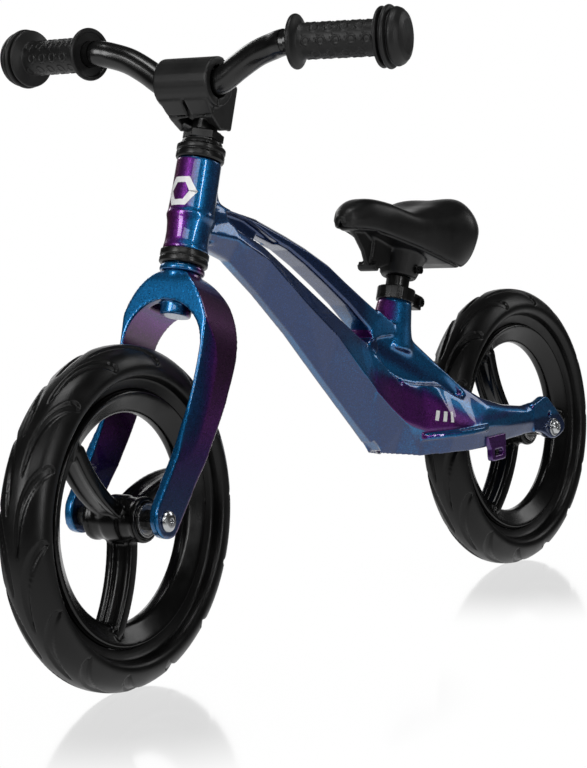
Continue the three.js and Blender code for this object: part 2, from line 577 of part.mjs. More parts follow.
place('stem', geometryOf(stemBody()), BLACK_METAL, steering);
place('stem_wedge', geometryOf(wedgeBody()), STEEL, steering);
place('stem_bolt', stemBolt(), STEEL, steering);
place('handlebar', handlebar(), BLACK_METAL, steering);
placeGrip('left', 1);
placeGrip('right', -1);
place('pad_front', geometryOf(padWhole.intersect(solid(frontHalf))), PLASTIC, steering);
place('pad_rear', geometryOf(padWhole.intersect(solid(rearHalf))), PLASTIC, steering);

// ---- saddle ----
const SADDLE_SECTIONS = [
  // x, half width, crown height, shoulder height, skirt height, skirt half width
  [-27, 6, 367, 363, 357, 5],
  [-36, 14, 376.5, 370, 355.5, 13],
  [-58, 21.5, 382, 373, 352, 20],
  [-86, 27, 379, 369, 343, 25.5],
  [-115, 37, 371.5, 360, 331, 35],
  [-145, 50, 369, 356, 316, 47],
  [-168, 57, 371.5, 356, 310.5, 42],
  [-187, 51, 373, 353, 322, 38],
  [-200, 40, 369, 350, 333, 33],
  [-207, 24, 359, 347, 339, 22],
];

const SOCKET_BOTTOM = 12;              // along the seat axis, above the top of the seat tube
const SCREW_HEIGHT = 19;
const POST_TOP = 38;
const POST_BOTTOM = -114;

function saddleCushion() {
  const section = ([x, half, crown, shoulder, skirt, skirtHalf]) => mirrored(x, [
    [half * 0.45, crown], [half * 0.86, (crown + shoulder) / 2], [half, shoulder], [skirtHalf, skirt],
  ]);
  const hollow = ([x, half, crown, , skirt, skirtHalf]) => mirrored(x, [
    [skirtHalf - 3, skirt - 20], [skirtHalf - 3, skirt + 7], [half * 0.4, crown - 18],
  ]);
  return cut(union(loft(SADDLE_SECTIONS.map(section))), loft(SADDLE_SECTIONS.slice(1, -1).map(hollow)));
}

function saddleBase() {
  const shell = ([x, half, crown, , skirt, skirtHalf]) => mirrored(x, [
    [skirtHalf - 4.5, skirt - 1], [skirtHalf - 4.5, skirt + 5.5], [half * 0.36, crown - 20],
  ]);
  const inset = SADDLE_SECTIONS.slice(1, -1);
  inset[0] = [-40, 15.5, 377.5, 370.5, 355, 14.5];
  inset[inset.length - 1] = [-196, 42, 370, 351, 329.5, 34];
  const socket = fromSeat(new THREE.CylinderGeometry(30, 16.6, 36, 20).rotateX(Math.PI / 2)
    .translate(0, 0, SOCKET_BOTTOM + 18));
  const fin = plateXZ([
    [-48, 362], [-40, 357], [-51, 345], [-60, 333], [-64, 322], [-66, 315.5], [-70, 313.5], [-74, 315.5],
    [-84, 315.5], [-100, 318], [-104, 345], [-70, 362],
  ], -5, 5);
  const flange = plateXZ([
    [-45, 359], [-40, 357], [-51, 345], [-60, 333], [-64, 322], [-66, 315.5], [-70, 313.5], [-72.5, 316],
    [-68, 324], [-64, 336], [-56, 347],
  ], -10, 10);
  const postSocket = fromSeat(cylinderZ(POST_RADIUS + GAP, 0, POST_TOP + 0.4, 20));
  const screwHole = fromSeat(cylinderY(2.3, -30, 30, 10).translate(0, 0, SCREW_HEIGHT));
  return cut(union([...loft(inset.map(shell)), socket, fin, flange]), [postSocket, screwHole]);
}

function seatPost() {
  const tube = tubeZ(POST_RADIUS - 1.8, POST_RADIUS, POST_BOTTOM, POST_TOP);
  return cut(solid(tube), [cylinderY(2.3, -30, 30, 10).translate(0, 0, SCREW_HEIGHT)]);
}

function crossBolt(radius, headRadius, low, high, z) {
  const points = [[0, low], [radius, low], [radius, high - 3], [headRadius, high - 3], [headRadius, high],
    [2, high], [2, high - 1.5], [0, high - 1.5]].map((p) => new THREE.Vector2(...p));
  return new THREE.LatheGeometry(points, 10).translate(0, 0, z);
}

const CLAMP_BOLT_X = -24.5;
const CLAMP_BOLT_Z = -5.6;

// Clamp collar round the seat tube, with two ears behind it and a cross bolt.
function seatClamp() {
  const ring = tubeZ(SEAT_TUBE_RADIUS + GAP, 18.2, -12, 0.8, 20);
  const ears = new THREE.BoxGeometry(15, 22, 13.4).translate(-22, 0, -5.6);
  const split = new THREE.BoxGeometry(30, 2.6, 30).translate(-27, 0, -5.6);
  const bolt = cylinderY(2.5 + GAP, -20, 20, 10).translate(CLAMP_BOLT_X, 0, CLAMP_BOLT_Z);
  const tube = cylinderZ(SEAT_TUBE_RADIUS + GAP, -30, 20, 20);
  return cut(union([ring, ears]), [split, bolt, tube]);
}

place('saddle_cushion', geometryOf(saddleCushion()), CUSHION, root);
place('saddle_base', geometryOf(saddleBase()), PLASTIC, root);
place('seat_post', geometryOf(seatPost()), BLACK_METAL, seatGroup);
place('saddle_screw', crossBolt(2, 3.8, -21, 24.6, SCREW_HEIGHT), STEEL, seatGroup);
place('seat_clamp', geometryOf(seatClamp()), BLACK_METAL, seatGroup);
place('seat_clamp_bolt', crossBolt(2.5, 4.6, -13, 14.4, CLAMP_BOLT_Z).translate(CLAMP_BOLT_X, 0, 0), STEEL, seatGroup);
const clampNut = cut(solid(cylinderY(4.8, -14.6, -11.4, 6)), [cylinderY(2.8, -20, 0, 10)]);
place('seat_clamp_nut', geometryOf(clampNut).translate(CLAMP_BOLT_X, 0, CLAMP_BOLT_Z), STEEL, seatGroup);

export default root;
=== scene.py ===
import json
import math

import bmesh
import bpy
import numpy as np
from mathutils import Matrix, Vector
from mathutils.bvhtree import BVHTree


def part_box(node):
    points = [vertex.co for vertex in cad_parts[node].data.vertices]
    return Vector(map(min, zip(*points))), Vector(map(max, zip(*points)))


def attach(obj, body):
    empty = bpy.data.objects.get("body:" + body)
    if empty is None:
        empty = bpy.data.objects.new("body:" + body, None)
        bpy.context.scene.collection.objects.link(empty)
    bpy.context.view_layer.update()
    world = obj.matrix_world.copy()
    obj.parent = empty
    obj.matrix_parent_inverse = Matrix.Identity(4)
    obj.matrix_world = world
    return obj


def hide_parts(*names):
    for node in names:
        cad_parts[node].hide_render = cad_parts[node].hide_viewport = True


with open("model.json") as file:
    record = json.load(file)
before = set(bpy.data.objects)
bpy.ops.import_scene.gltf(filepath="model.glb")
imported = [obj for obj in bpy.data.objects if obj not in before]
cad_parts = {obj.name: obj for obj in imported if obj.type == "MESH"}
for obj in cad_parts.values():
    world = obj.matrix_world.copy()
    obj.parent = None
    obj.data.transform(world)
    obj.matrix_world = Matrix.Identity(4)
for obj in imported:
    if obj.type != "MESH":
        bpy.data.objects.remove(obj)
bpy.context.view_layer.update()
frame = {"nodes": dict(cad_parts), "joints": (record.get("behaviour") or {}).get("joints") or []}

MM = 0.001
TAU = 2 * math.pi
NODES = frame["nodes"]
JOINTS = {joint["name"]: joint for joint in frame["joints"]}


# ---- axis frames, from the record's joints ----
def axes_at(origin, up, side):
    """A matrix with local Z along up and local Y near side."""
    z = Vector(up).normalized()
    y = (Vector(side) - Vector(side).dot(z) * z).normalized()
    matrix = Matrix((y.cross(z), y, z)).transposed().to_4x4()
    matrix.translation = Vector(origin)
    return matrix


def wheel_axes(joint):
    """A matrix with local Y along the wheel's axle and local Z near straight up."""
    y = Vector(joint["axis"]).normalized()
    z = (Vector((0, 0, 1)) - y.z * y).normalized()
    matrix = Matrix((y.cross(z), y, z)).transposed().to_4x4()
    matrix.translation = Vector(joint["pos_m"])
    return matrix


def middle(node):
    low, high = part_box(node)
    return (low + high) / 2


STEER_AXIS = Vector(JOINTS["steering"]["axis"]).normalized()
SEAT_AXIS = Vector(JOINTS["saddle_height"]["axis"]).normalized()
STEER = axes_at(JOINTS["steering"]["pos_m"], STEER_AXIS, JOINTS["front_wheel_spin"]["axis"])
HEAD = axes_at(JOINTS["steering"]["pos_m"], STEER_AXIS, (0, 1, 0))
POST_MIDDLE = -38
SEAT = axes_at(middle("seat_post") - SEAT_AXIS * POST_MIDDLE * MM, SEAT_AXIS, (0, 1, 0))
FRONT = wheel_axes(JOINTS["front_wheel_spin"])
REAR = wheel_axes(JOINTS["rear_wheel_spin"])
WORLD = Matrix.Identity(4)


# ---- mesh helpers ----
def mesh_object(name, verts, faces, matrix=WORLD, sharp=40):
    """A closed, smooth-shaded mesh from points in millimetres in the given axis frame."""
    mesh = bpy.data.meshes.new(name)
    mesh.from_pydata([tuple(v) for v in np.asarray(verts, float) * MM], [], faces)
    mesh.transform(matrix)
    tidy = bmesh.new()
    tidy.from_mesh(mesh)
    bmesh.ops.remove_doubles(tidy, verts=tidy.verts, dist=2e-6)
    bmesh.ops.recalc_face_normals(tidy, faces=tidy.faces)
    tidy.to_mesh(mesh)
    tidy.free()
    obj = bpy.data.objects.new(name, mesh)
    bpy.context.scene.collection.objects.link(obj)
    mesh.shade_smooth()
    mesh.set_sharp_from_angle(angle=math.radians(sharp))
    return obj


def surface(name, points, wrap_rows, wrap_columns, matrix=WORLD, sharp=40, caps=False):
    """A grid surface from an array of rows of points."""
    rows, columns = points.shape[:2]
    faces = []
    for i in range(rows if wrap_rows else rows - 1):
        for j in range(columns if wrap_columns else columns - 1):
            across, down = (j + 1) % columns, (i + 1) % rows
            faces.append((i * columns + j, i * columns + across, down * columns + across, down * columns + j))
    if caps:
        faces.append(tuple(range(columns)))
        faces.append(tuple((rows - 1) * columns + j for j in range(columns)))
    return mesh_object(name, points.reshape(-1, 3), faces, matrix, sharp)


def softened(profile, radius, closed=True, steps=3):
    """A profile with each corner rounded."""
    points = [np.array(p, float) for p in profile]
    count = len(points)
    result = []
    for i, here in enumerate(points):
        if not closed and i in (0, count - 1):
            result.append(here)
            continue
        before, after = points[i - 1] - here, points[(i + 1) % count] - here
        reach_before = min(radius, 0.45 * np.linalg.norm(before))
        reach_after = min(radius, 0.45 * np.linalg.norm(after))
        start = here + before / (np.linalg.norm(before) + 1e-9) * reach_before
        end = here + after / (np.linalg.norm(after) + 1e-9) * reach_after
        for k in range(steps + 1):
            t = k / steps
            result.append((1 - t) ** 2 * start + 2 * t * (1 - t) * here + t * t * end)
    return np.array(result)


def lathe(name, profile, matrix, axis="z", segments=64, closed=True, soft=0.4, flutes=None, sharp=40):
    """A turned piece. flutes = (count, depth, low, high) ripples the wall between two heights."""
    line = softened(profile, soft, closed) if soft else np.array(profile, float)
    angles = np.linspace(0, TAU, segments, endpoint=False)
    radius = np.repeat(line[None, :, 0], segments, 0)
    height = np.repeat(line[None, :, 1], segments, 0)
    if flutes:
        count, depth, low, high, inner = flutes
        near = (height > low) & (height < high) & (radius > inner)
        radius = radius + near * depth * np.cos(count * angles)[:, None]
    c, s = np.cos(angles)[:, None], np.sin(angles)[:, None]
    flat = (radius * c, radius * s, height) if axis == "z" else (radius * c, height, radius * s)
    return surface(name, np.stack(flat, -1), True, closed, matrix, sharp)


def spline(points, steps, closed=False):
    """Catmull-Rom through the points, as an array."""
    p = np.array(points, float)
    count = len(p)
    result = []
    for i in range(count if closed else count - 1):
        if closed:
            a, b, c, d = p[i - 1], p[i], p[(i + 1) % count], p[(i + 2) % count]
        else:
            b, c = p[i], p[i + 1]
            a = p[i - 1] if i else 2 * b - c
            d = p[i + 2] if i + 2 < count else 2 * c - b
        for k in range(steps):
            t = k / steps
            result.append(0.5 * (2 * b + (c - a) * t + (2 * a - 5 * b + 4 * c - d) * t * t
                                 + (3 * b - a - 3 * c + d) * t ** 3))
    if not closed:
        result.append(p[-1])
    return np.array(result)


def sweep(name, path, ring, matrix, sharp=40):
    """A section ring of (u, v) pairs carried along a path, with flat ends."""
    path = np.array(path, float)
    tangents = np.gradient(path, axis=0)
    tangents /= np.linalg.norm(tangents, axis=1)[:, None]
    u = np.cross(tangents[0], (0, 0, 1.0))
    u /= np.linalg.norm(u)
    rows = []
    for point, tangent in zip(path, tangents):
        u = u - u.dot(tangent) * tangent
        u /= np.linalg.norm(u)
        v = np.cross(tangent, u)
        rows.append([point + a * u + b * v for a, b in ring])
    return surface(name, np.array(rows), False, True, matrix, sharp, caps=True)


def circle(radius, count):
    angles = np.linspace(0, TAU, count, endpoint=False)
    return [(radius * math.cos(a), radius * math.sin(a)) for a in angles]


def bake(obj):
    """Applies the object's modifiers."""
    graph = bpy.context.evaluated_depsgraph_get()
    mesh = bpy.data.meshes.new_from_object(obj.evaluated_get(graph))
    obj.modifiers.clear()
    obj.data = mesh
    return obj


def cast(obj, voxel, rounds):
    """Fuses overlapping shells into one skin and rounds its edges, as a casting or moulding has them."""
    skin = obj.modifiers.new("Skin", "REMESH")
    skin.mode = "VOXEL"
    skin.voxel_size = voxel * MM
    round_off = obj.modifiers.new("Round", "SMOOTH")
    round_off.factor = 0.5
    round_off.iterations = rounds
    bake(obj)
    obj.data.shade_smooth()
    return obj


def ease(obj, rounds, weigh):
    """Smooths a region further; weigh gives each point, in metres, its weight."""
    count = len(obj.data.vertices)
    flat = np.empty(count * 3)
    obj.data.vertices.foreach_get("co", flat)
    weights = np.clip(weigh(flat.reshape(-1, 3)), 0, 1)
    group = obj.vertex_groups.new(name="Ease")
    levels = np.round(weights * 8).astype(int)
    for level in range(1, 9):
        group.add([int(k) for k in np.flatnonzero(levels == level)], level / 8, "REPLACE")
    even = obj.modifiers.new("Ease", "SMOOTH")
    even.factor = 0.5
    even.iterations = rounds
    even.vertex_group = "Ease"
    bake(obj)
    obj.data.shade_smooth()
    return obj


def step(values, low, high):
    t = np.clip((values - low) / (high - low), 0, 1)
    return t * t * (3 - 2 * t)


def copy_of(node, name):
    """A free copy of a CAD node's mesh, with its split corners merged."""
    mesh = NODES[node].data.copy()
    mesh.materials.clear()
    tidy = bmesh.new()
    tidy.from_mesh(mesh)
    bmesh.ops.remove_doubles(tidy, verts=tidy.verts, dist=2e-6)
    tidy.to_mesh(mesh)
    tidy.free()
    obj = bpy.data.objects.new(name, mesh)
    bpy.context.scene.collection.objects.link(obj)
    return obj


def joined(name, pieces):
    """One object from several."""
    merged = bmesh.new()
    for piece in pieces:
        merged.from_mesh(piece.data)
        bpy.data.objects.remove(piece)
    mesh = bpy.data.meshes.new(name)
    merged.to_mesh(mesh)
    merged.free()
    obj = bpy.data.objects.new(name, mesh)
    bpy.context.scene.collection.objects.link(obj)
    return obj


def carve(obj, tools):
    """Cuts closed tools out of a closed object."""
    for tool in tools:
        cut = obj.modifiers.new("Cut", "BOOLEAN")
        cut.operation = "DIFFERENCE"
        cut.solver = "EXACT"
        cut.object = tool
    bake(obj)
    for tool in tools:
        bpy.data.objects.remove(tool)
    return obj


# ---- materials ----
def nodes_of(material):
    material.use_nodes = True
    tree = material.node_tree
    return tree, tree.nodes["Principled BSDF"]


def add(tree, kind, **values):
    node = tree.nodes.new(kind)
    for key, value in values.items():
        if hasattr(node, key):
            setattr(node, key, value)
        else:
            node.inputs[key.replace("_", " ")].default_value = value
    return node


def ramp(tree, source, stops):
    node = tree.nodes.new("ShaderNodeValToRGB")
    elements = node.color_ramp.elements
    while len(elements) < len(stops):
        elements.new(0.5)
    for element, (place, colour) in zip(elements, stops):
        element.position = place
        element.color = (*colour, 1) if len(colour) == 3 else colour
    tree.links.new(source, node.inputs["Fac"])
    return node.outputs["Color"]


def noise(tree, scale, detail=4.0, roughness=0.55):
    """A noise fixed to the object's own coordinates."""
    place = add(tree, "ShaderNodeTexCoord")
    node = add(tree, "ShaderNodeTexNoise", Scale=scale, Detail=detail, Roughness=roughness)
    tree.links.new(place.outputs["Object"], node.inputs["Vector"])
    return node.outputs["Fac"]


def bump(tree, shader, height, strength, distance):
    node = add(tree, "ShaderNodeBump", Strength=strength, Distance=distance)
    tree.links.new(height, node.inputs["Height"])
    tree.links.new(node.outputs["Normal"], shader.inputs["Normal"])


def moulded(name, dark, light, rough, grain, metallic=0.0, coat=0.0, strength=0.15, distance=0.0002, patch=18.0,
            sheen=0.5):
    """A finish with a drifting tone, uneven gloss and a fine surface grain."""
    material = bpy.data.materials.new(name)
    tree, shader = nodes_of(material)
    drift = noise(tree, patch)
    tree.links.new(ramp(tree, drift, [(0.3, dark), (0.7, light)]), shader.inputs["Base Color"])
    low, high = rough
    gloss = ramp(tree, noise(tree, patch * 3), [(0.3, (low,) * 3), (0.7, (high,) * 3)])
    tree.links.new(gloss, shader.inputs["Roughness"])
    shader.inputs["Metallic"].default_value = metallic
    shader.inputs["Specular IOR Level"].default_value = sheen
    shader.inputs["Coat Weight"].default_value = coat
    shader.inputs["Coat Roughness"].default_value = 0.06
    bump(tree, shader, noise(tree, grain, 6.0), strength, distance)
    return material


def spread(tree, source, low, high, start=0.0, end=1.0):
    """A smooth step of a value from low to high."""
    node = add(tree, "ShaderNodeMapRange", interpolation_type="SMOOTHSTEP")
    for key, value in (("From Min", low), ("From Max", high), ("To Min", start), ("To Max", end)):
        node.inputs[key].default_value = value
    tree.links.new(source, node.inputs["Value"])
    return node.outputs["Result"]


def sums(tree, operation, first, second, third=None):
    """A math node; each input is a socket or a number."""
    node = add(tree, "ShaderNodeMath", operation=operation)
    for socket, value in zip(node.inputs, (first, second, third)):
        if value is None:
            continue
        if isinstance(value, (int, float)):
            socket.default_value = value
        else:
            tree.links.new(value, socket)
    return node.outputs["Value"]


# The sloping line and shelf height that split the tail's painted shade below from its painted reflection above.
FLANK_SLOPE, FLANK_RISE, SHELF_HEIGHT = 0.537, 0.2775, 0.186
DRIFT_SHARE, FLAKE_SHARE = 0.10, 0.05


def chameleon(name, lean, gain, offset, stops, skyward=0.0, tail_shift=0.0, foot_shift=0.0):
    """Metal-flake colour-shift paint whose hue follows the way the surface faces. This is partly the paint's own change
    of colour with angle and partly painted light, because the facing also sets how lit or shaded a face looks.
    skyward paints darker shade on faces turned up or down. tail_shift paints the two sides of the head and seat tubes
    in different hues, reddens the low rear flanks with painted shade and lays a bright painted reflection along the top
    of the tail. foot_shift turns the low end of a blade bluer with painted light."""
    material = bpy.data.materials.new(name)
    tree, shader = nodes_of(material)
    place = add(tree, "ShaderNodeTexCoord")
    turn = add(tree, "ShaderNodeSeparateXYZ")
    tree.links.new(place.outputs["Normal"], turn.inputs[0])
    spot = add(tree, "ShaderNodeSeparateXYZ")
    tree.links.new(place.outputs["Object"], spot.inputs[0])
    across = sums(tree, "ABSOLUTE", turn.outputs["Y"], None)
    # Painted light: on the head and seat tubes one side takes a different hue from the other, a painted shade of that
    # side.
    if tail_shift:
        tubes = sums(tree, "MAXIMUM", spread(tree, spot.outputs["X"], 0.13, 0.17),
                     sums(tree, "MULTIPLY", spread(tree, spot.outputs["Z"], 0.255, 0.27),
                          spread(tree, spot.outputs["X"], -0.05, -0.07)))
        plain = sums(tree, "SUBTRACT", turn.outputs["Y"], across)
        across = sums(tree, "MULTIPLY_ADD", plain, tubes, across)
    mirrored = add(tree, "ShaderNodeCombineXYZ")
    for socket, source in zip(mirrored.inputs, (turn.outputs["X"], across, turn.outputs["Z"])):
        tree.links.new(source, socket)
    facing = add(tree, "ShaderNodeVectorMath", operation="DOT_PRODUCT")
    facing.inputs[1].default_value = lean
    tree.links.new(mirrored.outputs[0], facing.inputs[0])
    drift = add(tree, "ShaderNodeTexNoise", Scale=11.0, Detail=3.0)
    flakes = add(tree, "ShaderNodeTexVoronoi", Scale=1300.0)
    for texture in (drift, flakes):
        tree.links.new(place.outputs["Object"], texture.inputs["Vector"])
    flake = add(tree, "ShaderNodeSeparateColor")
    tree.links.new(flakes.outputs["Color"], flake.inputs[0])
    hue = sums(tree, "MULTIPLY_ADD", facing.outputs["Value"], gain, offset)
    # Painted shade: faces turned up or down shift by skyward, so the frame's tops and undersides go darker navy.
    level = spread(tree, sums(tree, "ABSOLUTE", turn.outputs["Z"], None), 0.3, 0.9)
    hue = sums(tree, "MULTIPLY_ADD", level, skyward, hue)
    hue = sums(tree, "MULTIPLY_ADD", drift.outputs["Fac"], DRIFT_SHARE, hue)
    hue = sums(tree, "MULTIPLY_ADD", flake.outputs[0], FLAKE_SHARE, hue)
    # Painted light: foot_shift lifts the low end of a blade towards bright blue.
    if foot_shift:
        hue = sums(tree, "MULTIPLY_ADD", spread(tree, spot.outputs["Z"], 0.27, 0.14), foot_shift, hue)
    # Painted shade: below a sloping line the low rear flanks of the tail shift by tail_shift towards dark magenta.
    if tail_shift:
        slope = sums(tree, "MULTIPLY_ADD", spot.outputs["X"], FLANK_SLOPE, FLANK_RISE)
        drop = sums(tree, "MAXIMUM", slope, SHELF_HEIGHT)
        rough = sums(tree, "MULTIPLY_ADD", drift.outputs["Fac"], 0.03, sums(tree, "SUBTRACT", drop, spot.outputs["Z"]))
        low = spread(tree, rough, 0.004, 0.062)
        above = spread(tree, spot.outputs["Z"], 0.146, 0.166)
        behind = spread(tree, spot.outputs["X"], 0.05, -0.09)
        upright = spread(tree, turn.outputs["Z"], -0.30, -0.10)
        weight = sums(tree, "MULTIPLY", sums(tree, "MULTIPLY", low, above), sums(tree, "MULTIPLY", behind, upright))
        hue = sums(tree, "MULTIPLY_ADD", weight, -tail_shift, hue)
        # Painted reflection: above that line, behind the seat tube, the top of the tail shifts towards bright
        # teal-blue.
        high = spread(tree, sums(tree, "SUBTRACT", spot.outputs["Z"], drop), -0.006, 0.012)
        teal_reflection_band = sums(tree, "MULTIPLY", spread(tree, spot.outputs["X"], -0.02, -0.06),
                    spread(tree, spot.outputs["X"], -0.27, -0.18))
        hue = sums(tree, "MULTIPLY_ADD", sums(tree, "MULTIPLY", high, teal_reflection_band), -0.16, hue)
        # Painted light: the head end of the frame shifts 0.10 down the ramp, lightening its side faces from navy to
        # blue.
        hue = sums(tree, "MULTIPLY_ADD", spread(tree, spot.outputs["X"], 0.11, 0.16), -0.10, hue)
    colour = ramp(tree, hue, stops)
    sparkle = ramp(tree, flake.outputs[1], [(0.0, (0.7,) * 3), (0.75, (1.0,) * 3), (1.0, (1.7,) * 3)])
    mixed = add(tree, "ShaderNodeMix", data_type="RGBA", blend_type="MULTIPLY")
    mixed.inputs["Factor"].default_value = 0.75
    tree.links.new(colour, mixed.inputs[6])
    tree.links.new(sparkle, mixed.inputs[7])
    tree.links.new(mixed.outputs[2], shader.inputs["Base Color"])
    shader.inputs["Metallic"].default_value = 0.8
    gloss = ramp(tree, flake.outputs[2], [(0.0, (0.26,) * 3), (1.0, (0.46,) * 3)])
    tree.links.new(gloss, shader.inputs["Roughness"])
    shader.inputs["Coat Weight"].default_value = 1.0
    shader.inputs["Coat Roughness"].default_value = 0.015
    return material


NAVY = (0.008, 0.036, 0.14)
BLUE = (0.003, 0.14, 0.36)
BLUE_DEEP = (0.003, 0.075, 0.22)
PURPLE = (0.13, 0.016, 0.20)
MAGENTA = (0.14, 0.006, 0.085)
VIOLET = (0.05, 0.012, 0.16)
WINE = (0.055, 0.004, 0.06)

# Frame paint with painted light: skyward shades tops and undersides navy, and tail_shift paints shade low on the rear
# flanks and a teal reflection along the top of the tail.
FRAME_PAINT = chameleon("Frame_paint", (-0.1, 0.95, 0.0), 0.5, 0.40,
                        [(0.10, MAGENTA), (0.34, PURPLE), (0.46, PURPLE), (0.56, VIOLET), (0.65, BLUE),
                         (0.78, BLUE), (0.87, NAVY), (1.0, NAVY)], skyward=0.45, tail_shift=0.56)
# Fork paint with painted light: foot_shift lightens the low ends of the blades towards blue.
FORK_PAINT = chameleon("Fork_paint", (0.9, -0.3, 0.25), 1.1, 0.65,
                       [(0.15, WINE), (0.36, WINE), (0.48, PURPLE), (0.56, VIOLET), (0.66, NAVY), (0.80, BLUE_DEEP),
                        (1.0, BLUE)], foot_shift=0.34)
LOOP_PAINT = chameleon("Loop_paint", (0.2, 0.5, 0.8), 0.5, 0.3, [(0.2, VIOLET), (0.9, PURPLE)])
GLOSS_BLACK = moulded("Gloss_black", (0.002,) * 3, (0.004,) * 3, (0.18, 0.28), 350.0, coat=0.0, strength=0.05,
                      sheen=0.34)
BAR_BLACK = moulded("Bar_black", (0.003,) * 3, (0.006,) * 3, (0.22, 0.32), 500.0, metallic=0.2, coat=0.25,
                    strength=0.04)
HEADSET_BLACK = moulded("Headset_black", (0.006,) * 3, (0.012,) * 3, (0.24, 0.38), 700.0, metallic=0.3)
FOAM = moulded("Tyre_foam", (0.003,) * 3, (0.006,) * 3, (0.28, 0.40), 900.0, strength=0.22, sheen=0.27)
RUBBER = moulded("Grip_rubber", (0.004,) * 3, (0.008,) * 3, (0.40, 0.52), 1400.0, strength=0.3, sheen=0.36)
PAD = moulded("Pad_moulding", (0.006,) * 3, (0.010,) * 3, (0.36, 0.48), 1800.0, strength=0.35, distance=0.0001,
              sheen=0.4)
BASE = moulded("Saddle_moulding", (0.005,) * 3, (0.008,) * 3, (0.34, 0.46), 1600.0, strength=0.3, distance=0.0001,
               sheen=0.36)
HIDE = moulded("Saddle_skin", (0.003,) * 3, (0.006,) * 3, (0.34, 0.46), 1100.0, strength=0.3, sheen=0.4)
STEEL = moulded("Bright_steel", (0.46, 0.47, 0.48), (0.66, 0.67, 0.68), (0.16, 0.3), 500.0, metallic=1.0,
                strength=0.08)
SHIELD = moulded("Bearing_steel", (0.30,) * 3, (0.5,) * 3, (0.22, 0.38), 500.0, metallic=1.0, strength=0.08)
WHITE = moulded("Badge_white", (0.78,) * 3, (0.86,) * 3, (0.2, 0.3), 600.0, coat=0.6, strength=0.05)


def finish_piece(obj, material, body, slot, *nodes):
    """Gives a piece its finish and body, and hides the CAD nodes it stands for."""
    obj.data.materials.clear()
    obj.data.materials.append(material)
    if nodes:
        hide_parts(*nodes)
    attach(obj, body)
    return obj


# ---- frame and fork castings ----
def prism(name, outline, near, far, matrix=WORLD, slant=0.0, start=0.0, plane="xz"):
    """A closed prism of an outline in X and Z between two Y planes; slant moves the near plane out behind start.
    With plane yz the outline is in Y and Z, between two X planes."""
    rows = []
    for side in (near, far):
        row = []
        for a, b in outline:
            shift = slant * max(0.0, start - a) if side == near else 0.0
            row.append((a, side + shift, b) if plane == "xz" else (side, a, b))
        rows.append(row)
    return surface(name, np.array(rows), False, True, matrix, caps=True)


def both_sides(name, outline, near, far, matrix=WORLD, slant=0.0, start=0.0):
    return [prism(name, outline, sign * near, sign * far, matrix, sign * slant, start) for sign in (1, -1)]


POCKET = [(158.7, 379.1), (143.1, 376), (126.5, 370.5), (110, 362), (94.7, 353.4), (80.1, 346.5), (99.4, 350.2),
          (110.9, 352.1), (118.6, 352.6), (137, 361.1), (154.8, 371.9)]
WEB = [(166, 384), (140, 378), (118, 368), (108, 357), (116, 349), (150, 358), (168, 366)]
RECESS = [(-44.7, 246.3), (-54.5, 252), (-80, 253), (-97, 245.2), (-116.8, 235), (-134.1, 224), (-149.8, 209.8),
          (-163, 195), (-163.7, 186), (-151.3, 190.4), (-135.2, 200.5), (-113.2, 203.5), (-88.9, 209), (-68.3, 222.6),
          (-53.3, 236.3)]
NECK = [(163.5, 407), (164, 392.1), (161.4, 386.7), (153.2, 381.9), (137.7, 377.2), (137, 366), (177, 366), (170, 388)]


PLUG = [(-46, 172), (-54, 157), (-66, 146), (-86, 143), (-94, 150), (-94, 196), (-60, 200)]


def pockets():
    return both_sides("Pocket", POCKET, 4.5, 60)


def frame_casting():
    body = carve(copy_of("frame", "Frame_casting"),
                 both_sides("Recess", spline(RECESS, 5, closed=True), 10, 70, slant=0.174, start=-52) + pockets())
    web = carve(prism("Web", WEB, -9, 9), pockets())
    neck = carve(prism("Neck", NECK, -9, 9), pockets())
    head = [(16.4, 230.6), (19.2, 230.6), (19.3, 233), (18.5, 238), (18.4, 247), (19.1, 255), (20.3, 259.4),
            (20.8, 261), (20.5, 262.6), (19.9, 264.4), (19.3, 284), (19.0, 309.6), (16.4, 309.6)]
    flare = [(14.6, -60), (24, -60), (19, -34), (16.4, -13), (14.6, -13)]
    parts = [body, web, neck, prism("Plug", PLUG, -9, 9), lathe("head", head, HEAD, "z", 96, soft=0.5),
             lathe("flare", flare, SEAT, "z", 72, soft=1.0)]
    boss = [(0, -15.5), (8, -15.5), (8, 15.5), (0, 15.5)]
    parts.append(lathe("boss", boss, Matrix.Translation(Vector(BOSS) * MM), "y", 48, closed=False, soft=2.5))
    body = ease(cast(joined("Frame_casting", parts), 0.95, 10), 80, blend_zone)
    return finish_piece(body, FRAME_PAINT, "frame", "paint", "frame")


def blend_zone(points):
    """Where the casting flows softly: round the neck behind the head tube and along the tail flanks."""
    local = (points - np.array(HEAD.translation)) @ np.array(HEAD.to_3x3())
    away = np.hypot(local[:, 0], local[:, 1])
    neck = 0.5 * step(away, 0.0205, 0.026) * step(away, 0.062, 0.045)
    x, z = points[:, 0], points[:, 2]
    tail = step(x, -0.285, -0.24) * step(x, -0.07, -0.10) * step(z, 0.158, 0.166) * step(z, 0.272, 0.25)
    return np.maximum(neck, tail)


BOSS = (-49, 0, 245)


FORK_SIDE = [(46, 3), (45, 12), (38.5, 30), (31, 51), (25.5, 70), (19, 96), (15.8, 120), (14.6, 144), (15.4, 165),
             (17, 182), (17.8, 199), (16.4, 206.5), (11, 211.5), (-12, 211.8), (-23, 208), (-30, 198), (-32.5, 185),
             (-33.3, 160), (-30.5, 128), (-22, 91), (-13, 62), (-3, 38), (3.5, 22), (10.5, 3), (14, -6), (20, -12),
             (28, -13.8), (36, -12.5), (43, -6.5)]
ARCH_OUTER = [(46, -20), (46, 140), (44.6, 158), (40, 176), (32, 192), (22, 204), (13, 211.8)]
ARCH_CENTRE, ARCH_RADIUS = 148, 38.4


